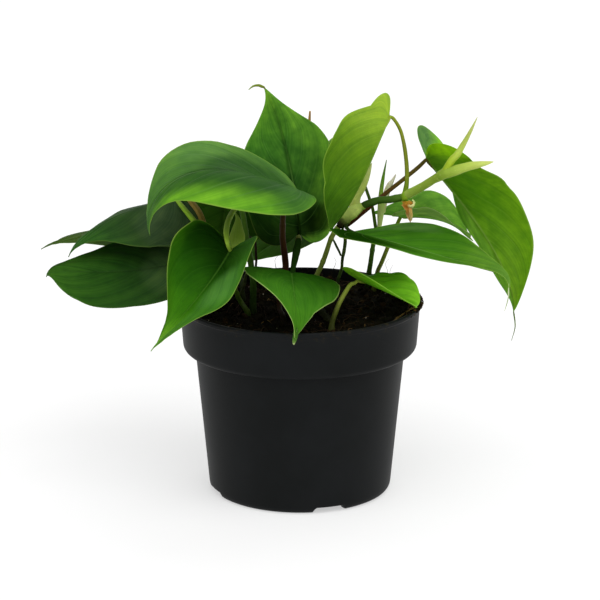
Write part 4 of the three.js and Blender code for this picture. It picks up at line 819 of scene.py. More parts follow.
def rounded(pts, radii, k=6):
    """rounds the corners of an open polyline: radii[i] belongs to pts[i]"""
    pts = [np.array(p, float) for p in pts]
    out = [pts[0]]
    for i in range(1, len(pts) - 1):
        r = radii[i]
        if r <= 0:
            out.append(pts[i])
            continue
        a, b = unit(pts[i - 1] - pts[i]), unit(pts[i + 1] - pts[i])
        ang = np.arccos(np.clip(a @ b, -1, 1))
        d = min(r / np.tan(ang / 2), 0.48 * np.linalg.norm(pts[i - 1] - pts[i]), 0.48 * np.linalg.norm(pts[i + 1] - pts[i]))
        p, q = pts[i] + a * d, pts[i] + b * d
        for s in np.linspace(0, 1, k + 1):
            out.append((1 - s) ** 2 * p + 2 * s * (1 - s) * pts[i] + s * s * q)
    out.append(pts[-1])
    return np.array(out)


def pot_object():
    seg = 264
    outer = [(0.0, 0.0), (26, 0.0), (44.9, 0.0), (51.75, 71.9), (57.55, 72.3), (59.0, 92.2), (59.25, 93.9), (60.0, 94.5), (60.0, 96.4), (58.1, 96.4)]
    orad = [0, 0, 4.2, 1.3, 4.6, 0.8, 0.7, 0.5, 1.1, 0.9]
    inner = [(57.75, 92.3), (56.3, 75.5), (50.4, 73.0), (43.7, 1.45), (26, 1.4), (0.0, 1.4)]
    irad = [1.2, 2.4, 1.4, 3.0, 0, 0]
    P = rounded(outer + inner, orad + irad, 7)
    P = profile(P, 1.9)
    ang = np.linspace(0, 2 * np.pi, seg, endpoint=False)
    P = P[(P[:, 0] > 1e-6)]
    n = len(P)
    r, z = P[:, 0][:, None] * np.ones(seg), P[:, 1][:, None] * np.ones(seg)
    x, y = r * np.cos(ang), r * np.sin(ang)
    # drainage channels pressed up into the base, floor and corner alike
    lift = np.zeros_like(z)
    for i in range(4):
        a = np.radians(-70.5 + 90 * i)
        along, across = x * np.cos(a) + y * np.sin(a), -x * np.sin(a) + y * np.cos(a)
        w = smooth(8.1, 7.1, np.abs(across)) * smooth(23.4, 24.8, along)
        lift = np.maximum(lift, w)
    raised = np.where(z < 9, z + (2.5 + 0.35 * np.maximum(z - 0.2, 0) - z * (z > 2.5)) * lift * np.clip((9 - z) / 9, 0, 1), z)
    outside = np.arange(n)[:, None] < n - np.sum(P[:, 1] < 90) // 2
    z = np.where(lift > 0, np.maximum(z, np.minimum(raised, np.maximum(z, 2.5 + 0.55 * z))), z)
    # a hair of out-of-roundness and mould shrinkage
    wob = 1 + 0.0012 * np.sin(2 * ang + 0.6) * smooth(20, 95, z) - 0.0006
    x, y = x * wob, y * wob
    V = np.stack([x, y, z], -1).reshape(-1, 3)
    F = grid_faces(n, seg, 0, True)
    c0, c1 = len(V), len(V) + 1
    V = np.concatenate([V, [[0, 0, 0.0]], [[0, 0, 1.4]]])
    for k in range(seg):
        F.append((k, c0, (k + 1) % seg))
        F.append(((n - 1) * seg + k, (n - 1) * seg + (k + 1) % seg, c1))
    ob = new_object("pot_shell", V, F, pot_material())
    # drain holes, cut through the raised floor of each channel
    cut = []
    for i in range(4):
        a = np.radians(-70.5 + 90 * i)
        c = np.array([33 * np.cos(a), 33 * np.sin(a)])
        m = 28
        g = np.linspace(0, 2 * np.pi, m, endpoint=False)
        ring = np.stack([c[0] + 3.5 * np.cos(g), c[1] + 3.5 * np.sin(g)], -1)
        v = np.concatenate([np.c_[ring, np.full(m, 0.6)], np.c_[ring, np.full(m, 7.0)]])
        f = grid_faces(2, m, 0, True) + [tuple(range(m))[::-1], tuple(range(m, 2 * m))]
        cut.append((v, f, np.zeros((len(v), 3))))
    v, f, _ = merge(cut)
    tool = new_object("hole_tool", v, f, pot_material())
    mod = ob.modifiers.new("holes", "BOOLEAN")
    mod.operation, mod.solver, mod.object = "DIFFERENCE", "EXACT", tool
    bpy.context.view_layer.update()
    me = bpy.data.meshes.new_from_object(ob.evaluated_get(bpy.context.evaluated_depsgraph_get()))
    old = ob.data
    ob.modifiers.clear()
    ob.data = me
    bpy.data.meshes.remove(old)
    data = tool.data
    bpy.data.objects.remove(tool)
    bpy.data.meshes.remove(data)
    me.materials.clear()
    me.materials.append(bpy.data.materials["pot_plastic"])
    me.polygons.foreach_set("use_smooth", [True] * len(me.polygons))
    return place(ob, "pot", "pot")


# ---------------------------------------------------------------- soil
def soil_top(x, y):
    return 90.2 - 0.9 * (x * x + y * y) / 3364 + 0.8 * np.sin(0.11 * x + 0.7) * np.cos(0.13 * y + 0.4) + 0.45 * np.sin(0.23 * x - 0.19 * y + 1.1)


def soil_height(x, y):
    p = np.stack([x, y, 0 * x], -1)
    r = np.hypot(x, y)
    crumbs = 0.75 * fbm(p * 0.16, 3.0, 3) + 0.55 * np.abs(fbm(p * 0.42, 9.0, 3)) + 0.3 * fbm(p * 1.1, 5.0, 2)
    wall = 0.9 * smooth(52, 57.5, r) * (0.4 + vnoise(p * 0.09, 12.0)) + 3.4 * smooth(46, 57, r) * smooth(8, 34, x) * smooth(34, -2, np.abs(y - 4)) * (0.7 + 0.5 * vnoise(p * 0.3, 2.0)) + 3.2 * smooth(26, 54, y) * (0.8 + 0.4 * vnoise(p * 0.12, 6.0))
    return soil_top(x, y) + crumbs + wall - 0.25


def soil_object(mat):
    rings, seg = 74, 300
    ang = np.linspace(0, 2 * np.pi, seg, endpoint=False)
    r = np.linspace(0.9, 57.35, rings)
    R, A = np.meshgrid(r, ang, indexing="ij")
    X, Y = R * np.cos(A), R * np.sin(A)
    Z = soil_height(X, Y)
    # wall clearance: the collar leans in below the lip
    V = [np.stack([X, Y, Z], -1).reshape(-1, 3)]
    down = [(57.0, 86.0), (56.2, 77.0), (55.0, 75.9), (50.6, 74.0), (50.1, 72.0), (43.6, 4.6), (42.0, 4.45), (0.9, 4.45)]
    for q, z in down:
        V.append(np.stack([q * np.cos(ang), q * np.sin(ang), np.full(seg, z)], -1))
    n = rings + len(down)
    F = grid_faces(n, seg, 0, True)
    c0 = n * seg
    V.append(np.array([[0, 0, float(soil_height(np.array(0.0), np.array(0.0)))], [0, 0, 4.45]]))
    for k in range(seg):
        F.append((k, c0, (k + 1) % seg))
        F.append(((n - 1) * seg + k, (n - 1) * seg + (k + 1) % seg, c0 + 1))
    return place(new_object("soil_bed", np.concatenate(V), F, mat), "soil", "soil")


ICO = None


def lump(c, size, flat=1.0, seed=0.0, rough=0.35):
    """one irregular crumb"""
    global ICO
    if ICO is None:
        bm = bmesh.new()
        bmesh.ops.create_icosphere(bm, subdivisions=2, radius=1.0)
        ICO = (np.array([v.co for v in bm.verts]), [tuple(v.index for v in f.verts) for f in bm.faces])
        bm.free()
    v, f = ICO
    k = 1 + rough * vnoise(v * 1.6 + seed, seed) + 0.5 * rough * vnoise(v * 3.9 + seed, seed + 2)
    q = rng.normal(size=(3, 3))
    q, _ = np.linalg.qr(q)
    w = (v * k[:, None] * np.array([1.0, 0.62 + 0.3 * rng.random(), flat * (0.55 + 0.3 * rng.random())]) * size) @ q.T
    return w + c, f, np.zeros((len(v), 3))


def crumbs(name, mat, slot, count, lo, hi, inner=0.0, outer=56.0, flat=1.0, where=None, bury=0.25):
    parts = []
    while len(parts) < count:
        if where is not None:
            x, y = where()
        else:
            rr, aa = np.sqrt(rng.uniform((inner / outer) ** 2, 1)) * outer, rng.uniform(0, 2 * np.pi)
            x, y = rr * np.cos(aa), rr * np.sin(aa)
        s = lo * (hi / lo) ** (rng.random() ** 1.6)
        if np.hypot(x, y) > 56.6 - s:
            continue
        z = float(soil_height(np.array(x), np.array(y))) + s * (0.45 - bury)
        parts.append(lump(np.array([x, y, z]), s, flat, rng.uniform(0, 90)))
    V, F, _ = merge(parts)
    return place(new_object(name, V, F, mat, weld=False), slot)


def wisp(start, heading, length, radius, lift=0.35, wander=0.5, rise=0.0, sides=6, hug=True):
    """one thin fibre lying on the soil"""
    n = max(6, int(length / 1.1))
    p, a = np.array(start, float), heading
    pts = []
    for i in range(n):
        z = float(soil_height(np.array(p[0]), np.array(p[1]))) + radius * 0.7 + lift * np.sin(np.pi * i / (n - 1)) if hug else p[2]
        pts.append([p[0], p[1], z + rise * (i / (n - 1)) ** 2])
        a += wander * rng.normal() * 0.35
        p = p + np.array([np.cos(a), np.sin(a), 0]) * length / n
        rr = np.hypot(p[0], p[1])
        if hug and rr > 56.2:
            p[:2] *= 56.2 / rr
            a += 0.5
    C, _, _ = resample(pts, 0.8)
    R = radius * (1 - 0.55 * np.linspace(-1, 1, len(C)) ** 4)
    return sweep(C, R, sides, seed=rng.uniform(0, 50), rough=0.15)


def fibres(name, mat, slot, count, length, radius, **kw):
    parts = []
    for _ in range(count):
        rr, aa = np.sqrt(rng.random()) * 54, rng.uniform(0, 2 * np.pi)
        parts.append(wisp((rr * np.cos(aa), rr * np.sin(aa), 0), rng.uniform(0, 6.28), rng.uniform(*length), rng.uniform(*radius), lift=rng.uniform(0.1, 1.2), **kw))
    V, F, A = merge(parts)
    return place(new_object(name, V, F, mat, {"tb": A}), slot)


# ---------------------------------------------------------------- build
pot_object()
M_SOIL = soil_material("peat", lin(11, 10, 5), lin(30, 26, 15), lin(64, 50, 30), 0.4)
M_CRUMB = soil_material("peat_crumb", lin(15, 13, 7), lin(36, 29, 16), lin(76, 60, 34), 0.4)
M_BARK = soil_material("bark_chip", lin(34, 24, 12), lin(58, 42, 24), lin(100, 78, 46), 0.5)
M_RIMBARK = soil_material("rim_bark_chip", lin(52, 36, 16), lin(92, 68, 32), lin(136, 108, 60), 0.5)
M_GRIT = soil_material("pale_grit", lin(120, 112, 98), lin(176, 168, 150), lin(214, 208, 194), 0.5)
M_ROOT = fibre_material("dark_root", lin(28, 18, 10), lin(54, 38, 22))
M_STRAW = fibre_material("straw_fibre", lin(84, 62, 34), lin(136, 106, 58))
M_PALEROOT = fibre_material("pale_root", lin(44, 54, 24), lin(86, 94, 54), 0.6)
soil_object(M_SOIL)
crumbs("soil_crumbs", M_CRUMB, "soil", 620, 0.45, 1.9)
crumbs("bark_chips", M_BARK, "soil", 60, 0.9, 2.6, flat=0.5)
crumbs("pale_grit_bits", M_GRIT, "soil", 16, 0.35, 0.8)
fibres("peat_fibres", M_ROOT, "root", 150, (5, 16), (0.12, 0.28))
fibres("straw_bits", M_STRAW, "straw", 16, (3, 9), (0.1, 0.2))

G = lambda *c: tuple(c)
STALKS = {
    "stem_green": (stalk_material("vine_green", [(0, (50, 78, 22)), (0.5, (58, 92, 26)), (1, (76, 110, 34))], (112, 126, 60), 0.5), "stem_green"),
    "petiole_light": (stalk_material("stalk_light", [(0, (84, 92, 30)), (0.3, (116, 130, 42)), (0.7, (120, 138, 46)), (1, (124, 148, 46))], (156, 158, 84), 0.22), "stalk_light"),
    "p03": (stalk_material("stalk_arch", [(0, (132, 170, 40)), (0.08, (112, 146, 34)), (0.2, (118, 130, 34)), (0.55, (120, 130, 40)), (0.85, (132, 146, 40)), (1, (140, 178, 50))], (160, 166, 84), 0.22, soil=0.0), "stalk_light"),
    "p13": (stalk_material("stalk_front", [(0, (52, 58, 20)), (0.25, (104, 118, 44)), (0.55, (138, 152, 62)), (0.85, (134, 150, 52)), (1, (74, 94, 20))], (160, 166, 94), 0.22), "stalk_light"),
    "p02": (stalk_material("stalk_deep", [(0, (18, 34, 8)), (0.5, (20, 40, 6)), (1, (12, 30, 2))], (40, 60, 20), 0.3, spec=0.0), "stalk_dark"),
    "stem_mid": (stalk_material("stem_slim", [(0, (34, 50, 12)), (0.4, (52, 80, 16)), (0.8, (70, 108, 26)), (1, (88, 134, 38))], (80, 100, 46), 0.3, spec=0.06), "stalk_dark"),
    "p07": (stalk_material("stalk_rear", [(0, (98, 106, 38)), (0.5, (112, 126, 36)), (0.85, (104, 130, 32)), (1, (76, 128, 28))], (140, 146, 70), 0.3), "stalk_light"),
    "petiole_bright": (stalk_material("stalk_bright", [(0, (80, 104, 30)), (0.45, (124, 164, 42)), (1, (142, 184, 54))], (170, 196, 90), 0.2), "stalk_light"),
    "petiole_brown": (stalk_material("stalk_brown", [(0, (58, 34, 22)), (0.5, (84, 54, 30)), (1, (94, 74, 36))], (120, 92, 58), 0.4), "stalk_brown"),
    "petiole_dark": (stalk_material("stalk_dark", [(0, (36, 50, 18)), (0.5, (44, 68, 20)), (1, (54, 84, 26))], (82, 96, 44), 0.35), "stalk_dark"),
    "dried": (stalk_material("dry_tip", [(0, (96, 104, 40)), (0.6, (120, 104, 40)), (0.85, (168, 124, 64)), (1, (172, 128, 70))], (196, 142, 84), 0.3, 0.6, soil=0.0), "sheath_dried"),
    "shoot": (stalk_material("young_shoot", [(0, (176, 196, 96)), (0.2, (150, 180, 70)), (0.5, (142, 168, 60)), (0.8, (132, 158, 52)), (1, (150, 176, 66))], (206, 214, 140), 0.3, soil=0.0, spec=0.1), "shoot"),
    "spike": (stalk_material("young_spike", [(0, (140, 168, 40)), (0.25, (166, 192, 48)), (0.5, (178, 200, 84)), (0.8, (172, 184, 92)), (1, (190, 196, 120))], (216, 224, 130), 0.5, soil=0.0, spec=0.1), "shoot"),
    "rolled": (stalk_material("rolled_leaf", [(0, (156, 178, 92)), (0.3, (186, 204, 120)), (0.5, (150, 182, 76)), (0.75, (104, 150, 44)), (1, (84, 120, 34))], (206, 214, 150), 0.3, soil=0.0), "shoot"),
    "root": (M_ROOT, "root"),
    "root_pale": (M_PALEROOT, "root"),
    "straw": (M_STRAW, "straw"),
    "node": (stalk_material("old_node", [(0, (28, 24, 10)), (0.16, (44, 44, 18)), (0.3, (88, 104, 44)), (0.46, (178, 200, 98)), (0.85, (196, 216, 112)), (1, (136, 164, 64))], (110, 110, 56), 0.3, dots=0.2, spec=0.06), "stalk_brown"),
    "knot": (stalk_material("stem_knot", [(0, (52, 50, 24)), (0.5, (72, 78, 34)), (1, (84, 96, 40))], (110, 92, 56), 0.4, dots=0.5), "stalk_brown"),
    "p05": (stalk_material("stalk_red_brown", [(0, (66, 34, 14)), (0.35, (84, 46, 20)), (0.6, (92, 74, 22)), (0.86, (84, 74, 24)), (0.95, (88, 112, 30)), (1, (94, 130, 34))], (128, 92, 50), 0.35, soil=0.0), "stalk_brown"),
    "p14": (stalk_material("stalk_mid", [(0, (60, 88, 18)), (0.5, (66, 94, 22)), (1, (74, 108, 26))], (110, 126, 60), 0.25, soil=0.0, spec=0.06), "stalk_dark"),
    "p09": (stalk_material("stalk_olive", [(0, (124, 150, 56)), (0.5, (140, 172, 60)), (0.8, (150, 184, 60)), (1, (120, 160, 44))], (176, 190, 100), 0.3, spec=0.06), "stalk_light"),
    "p08": (stalk_material("stalk_shade", [(0, (16, 34, 6)), (0.4, (24, 46, 10)), (1, (30, 60, 16))], (44, 66, 26), 0.3, soil=0.0, spec=0.0), "stalk_dark"),
    "centre": (stalk_material("stalk_pale", [(0, (92, 104, 44)), (0.3, (116, 132, 56)), (1, (130, 150, 60))], (160, 166, 90), 0.25), "stalk_light"),
    "spike_low": (stalk_material("young_spike_low", [(0, (128, 158, 50)), (0.3, (152, 178, 66)), (0.6, (176, 196, 86)), (0.85, (190, 206, 104)), (1, (196, 206, 112))], (216, 226, 150), 0.3, soil=0.0, spec=0.08), "shoot"),
    "tip_pale": (fibre_material("tip_pale", lin(150, 170, 108), lin(206, 216, 170)), "leaf_deep"),
    "tip_fine": (fibre_material("tip_fine", lin(70, 96, 34), lin(116, 138, 62)), "leaf_olive"),
    "rootb": (fibre_material("green_root", lin(41, 60, 20), lin(80, 104, 42)), "root"),
    "p11": (stalk_material("stalk_tan", [(0, (40, 30, 16)), (0.3, (110, 96, 40)), (0.6, (144, 122, 58)), (0.85, (136, 128, 52)), (1, (120, 132, 44))], (166, 140, 84), 0.4, spec=0.06), "stalk_brown"),
    "p01": (stalk_material("stalk_maroon", [(0, (30, 22, 12)), (0.2, (64, 36, 22)), (0.45, (60, 36, 20)), (0.7, (52, 40, 20)), (1, (58, 52, 26))], (84, 60, 34), 0.35, spec=0.04), "stalk_brown"),
}
knot = lambda n: NODES[n]["at"]
CLS = dict(spike_upper="spike", spike_lower="spike_low", tip_06="tip_pale", tip_05="tip_fine", leaf_rolled_back="rolled", petiole_05="p05", petiole_14="p14", petiole_09="p09", root_b="rootb", root_a="rootb", petiole_11="p11", petiole_01="p01", petiole_03="p03", petiole_13="p13", petiole_02="p02", petiole_07="p07", stem_middle="stem_mid", stem_center="centre", petiole_08="p08")


def stalk(name, **kw):
    m, s = STALKS[CLS.get(name, TUBES[name]["cls"])]
    return tube_object(name, m, s, **kw)


U = lambda px, py, Y: unproject(px, py, Y)
NL, NB, NR = (np.array(knot(k)) for k in ("node_left", "node_back", "node_right"))
stalk("stem_left", sink=3, after=[(*NL, 1.3)], rings=(0.22, 0.48, 0.75), swell=0.25)
stalk("petiole_09", before=[(*NL, 1.2)], leaf="leaf_09", groove=0.2, reach=0.7)
stalk("petiole_10", sink=3, leaf="leaf_10", groove=0.2, swell=0.3)
stalk("petiole_11", sink=3, leaf="leaf_11", groove=0.2, swell=0.3)
stalk("petiole_12", sink=3, leaf="leaf_12", groove=0.2, swell=0.3)
stalk("petiole_15", sink=3, leaf="leaf_15", groove=0.2, swell=0.3)
stalk("petiole_01", sink=3, leaf="leaf_01", groove=0.15, rings=(0.3, 0.62), swell=0.3)
stalk("stem_back", sink=3, after=[(*NB, 1.0)], rings=(0.4, 0.75), swell=0.3)
stalk("petiole_08", before=[(*NB, 1.2)], leaf="leaf_08", groove=0.1)
stalk("petiole_02", sink=3, leaf="leaf_02", groove=0.2)
stalk("petiole_04", sink=3, leaf="leaf_04", groove=0.2)
stalk("leaf_rolled_top", before=[(-1.0, 61.5, 121.0, 0.9)], sides=12)
stalk("stem_center", sink=3, after=[(20.6, 4.6, 133.6, 1.5)], rings=(0.25, 0.55, 0.82), swell=0.3)
stalk("node_center", before=[(19.4, 4.8, 132.2, 1.2)], after=[(31.2, 3.1, 142.6, 1.75)], rings=(0.3, 0.62), rough=0.1, sides=26, step=0.5)
stalk("stem_right", before=[(30.4, 3.1, 142.4, 1.75)], after=[(*NR, 1.85)], rings=(0.3, 0.8), sides=20)
stalk("petiole_03", before=[(*U(405.1, 194.6, -0.7), 1.9), (*U(404.9, 197.4, -1.5), 2.0), (*U(404.7, 199.4, -1.2), 1.4)], leaf="leaf_03", groove=0.2, reach=0.6)
stalk("petiole_05", before=[(24.0, 5.5, 135.0, 1.1)], leaf="leaf_05", groove=0.2, reach=0.45)
stalk("shoot_right", before=[(*U(407.4, 194.6, -0.7), 2.3), (*U(405.8, 196.2, -0.2), 1.6)], after=[(*U(446, 172.6, -16.2), 2.2)], groove=0.12, sides=24)
stalk("spike_upper", before=[(*U(446.4, 169.6, -16.8), 1.95), (*U(441, 175.2, -15.0), 1.5)], sides=20, step=0.7)
stalk("spike_lower", before=[(*U(440, 175.6, -14.6), 2.45)], sides=20, step=0.7)
stalk("stem_middle", sink=3, rings=(0.35, 0.7), swell=0.3)
stalk("petiole_14", before=[(*U(376, 230.5, 38), 0.9)], leaf="leaf_14")
stalk("leaf_rolled_back", before=[(*U(376.5, 230.5, 37.6), 1.0)], step=0.6)
stalk("petiole_07", sink=3, leaf="leaf_07", groove=0.2, swell=0.3)
stalk("petiole_13", sink=3, leaf="leaf_13", groove=0.2, swell=0.5, lean=75.0, reach=0.6)
stalk("petiole_06", before=[(22.2, 4.3, 134.4, 1.1)], leaf="leaf_06")
stalk("root_a", before=[(*U(331.5, 238.0, 6.5), 0.5)], rough=0.14, sides=10)
stalk("root_b", before=[(*U(343.3, 225.5, 4.1), 0.7)], sink=0, after=[], rough=0.12, sides=10)
stalk("root_left", before=[(*U(250.8, 266.5, 3.6), 0.6)], rough=0.12, sides=10)
stalk("root_thin", before=[(*U(249.0, 237.0, 8.0), 0.5)], rough=0.14, sides=10)
stalk("straw", rough=0.12, sides=8)
# peat and loose fibres caught on the rim at the right, and a few fibres standing up at the back
def rim_spot(a, r, s):
    """resting height of a crumb of half size s at the rim"""
    x, y = r * np.cos(a), r * np.sin(a)
    if r > 60.0:
        z = 95.9 - 1.2 * (r - 60.0) + 0.4 * rng.random()
    elif r > 58.0:
        z = 96.4 + 0.4 * s + 0.3 * rng.random()
    else:
        top = 97.0 - 0.45 * (58.0 - r)
        low = float(soil_height(np.array(x), np.array(y)))
        z = low + (top - low) * rng.random() ** 0.5
    return np.array([x, y, z])


for label, mat, count, lo, hi in (("rim_peat", M_CRUMB, 170, 0.35, 0.95), ("rim_bark", M_RIMBARK, 100, 0.3, 0.75)):
    bits = []
    for _ in range(count):
        a = np.radians(np.clip(rng.normal(-9, 8), -27, 3))
        s = lo * (hi / lo) ** (rng.random() ** 1.5)
        bits.append(lump(rim_spot(a, min(56.0 + 4.9 * rng.random(), 61.0 - s), s), s, 0.8, rng.uniform(0, 90)))
    V_, F_, _ = merge(bits)
    place(new_object(label, V_, F_, mat, weld=False), "soil")
for label, mat, slot, count, fat in (("rim_fibres_dark", M_ROOT, "root", 26, (0.1, 0.2)), ("rim_fibres_pale", M_STRAW, "straw", 26, (0.09, 0.17))):
    loose = []
    for _ in range(count):
        a = np.radians(np.clip(rng.normal(-8, 11), -32, 18))
        rr, turn = rng.uniform(54.5, 60.2), rng.uniform(3, 8)
        way = rng.choice([-1, 1])
        k = max(5, int(turn / 1.0))
        path = []
        for j in range(k):
            t = j / (k - 1) - 0.5
            r2 = np.clip(rr + 1.6 * way * t + 0.5 * rng.normal() * abs(t), 53.5, 60.7)
            a2 = a + t * turn / rr
            path.append(rim_spot(a2, r2, 0.0) * [1, 1, 0] + [0, 0, (96.75 if r2 > 58 else 97.0 - 0.5 * (58 - r2)) - 1.1 * max(0.0, r2 - 60.0) + 0.5 * np.sin(np.pi * (t + 0.5)) * rng.random()])
        C_, _, _ = resample(path, 0.7)
        loose.append(sweep(C_, rng.uniform(*fat) * (1 - 0.5 * np.linspace(-1, 1, len(C_)) ** 4), 6, seed=rng.uniform(0, 50), rough=0.15))
    V_, F_, A_ = merge(loose)
    place(new_object(label, V_, F_, mat, {"tb": A_}), slot)
up = []
for pts in ([(384, 282, 51), (387.5, 272, 53), (385.5, 264, 54), (389, 258.5, 55)], [(391, 280, 50), (390, 271, 52), (393, 265, 52.5)], [(333, 270, 55), (336, 262, 56), (334, 257.5, 56.5)], [(276, 268, 55), (275, 260, 56), (278, 256, 57)]):
    C_, _, _ = resample([U(*q) for q in pts], 0.7)
    up.append(sweep(C_, 0.14 * (1 - 0.6 * np.linspace(0, 1, len(C_))), 6, seed=2.0, rough=0.15))
V_, F_, A_ = merge(up)
place(new_object("fine_roots", V_, F_, M_ROOT, {"tb": A_}), "root")
for tip_name, slim in (("tip_05", 0.62), ("tip_06", 0.5)):
    TUBES[tip_name]["r"] = [v * slim for v in TUBES[tip_name]["r"]]
for tip_name in ("tip_02", "tip_05", "tip_06"):
    leaf_name = "leaf_" + tip_name[-2:]
    p = LEAVES[leaf_name]
    end = surface(p, np.array([0.0]), np.array([1.0]), 1, frames(p))[0]
    near = surface(p, np.array([0.0]), np.array([0.965]), 1, frames(p))[0]
    stalk(tip_name, before=[(*end, 0.7 * TUBES[tip_name]["r"][0]), (*near, 0.25)], sides=10)
for k in ("node_left", "node_back", "node_right"):
    knot_object(k, STALKS["knot" if k != "node_right" else "p09"][0], "stem_green")
strip_object("sheath_center", sheath_material("sheath_pale", [(0, (206, 216, 118)), (0.45, (196, 214, 104)), (1, (206, 216, 138))], (220, 226, 164), edge=0.5), "sheath_pale")
strip_object("sheath_left", sheath_material("sheath_olive", [(0, (120, 150, 60)), (0.5, (124, 156, 52)), (1, (136, 164, 66))], (160, 180, 96), edge=0.35, spec=0.04), "sheath_pale", seed=2.0)
strip_object("sheath_back", sheath_material("sheath_cream", [(0, (206, 208, 146)), (0.4, (232, 230, 190)), (0.75, (246, 238, 216)), (1, (248, 232, 214))], (196, 148, 116), ribs_mix=0.1, edge=0.5, edge_side=-0.06), "sheath_pale", seed=6.0)
dry = sheath_material("sheath_dry", [(0, (174, 128, 26)), (0.4, (168, 104, 22)), (0.62, (190, 128, 58)), (1, (216, 178, 120))], (228, 196, 146), 0.65, spec=0.04)
dry_pale = sheath_material("sheath_dry_pale", [(0, (200, 158, 84)), (0.4, (226, 224, 144)), (1, (220, 234, 146))], (240, 238, 196), 0.65, spec=0.04)
E3 = lambda rows: [[list(U(*p, y)), list(U(*q, y)), g] for p, q, y, g in rows]
SHEETS["dried_curl"] = dict(bulge=[0, -1, 0], at=E3([((406.6, 203.6), (407, 206.4), -4.4, 0.2), ((409.6, 204.8), (410, 207.6), -5.2, 0.5), ((412.6, 203.8), (414, 206.6), -5.6, 0.6), ((413.2, 201.4), (415.2, 202.4), -5.0, 0.3), ((411.8, 200.0), (412.8, 199.4), -4.4, 0.1)]))
SHEETS["dried_tail"] = dict(bulge=[0, -1, 0], at=E3([((408.6, 207.5), (411.4, 206.8), -4.6, 0.3), ((408.6, 212), (412.4, 211.2), -4.8, 0.5), ((409.8, 217.6), (413, 217), -4.4, 0.3), ((411, 220.8), (412, 220.6), -4.0, 0.1)]))
strip_object("sheath_dried", dry, "sheath_dried", seed=3.0, rag=0.55)
strip_object("dried_curl", dry_pale, "sheath_dried", seed=4.0, rag=0.25, own=False)
strip_object("dried_tail", sheath_material("sheath_dry_tan", [(0, (206, 150, 70)), (0.5, (216, 184, 106)), (1, (232, 214, 160))], (236, 220, 170), 0.65, spec=0.04), "sheath_dried", seed=5.0, rag=0.3, own=False)
strip_object("dead_leaf", sheath_material("leaf_litter", [(0, (20, 26, 8)), (1, (38, 40, 16))], (56, 56, 28), 0.75, spec=0.02), "dead_leaf", seed=4.0, rag=0.7)

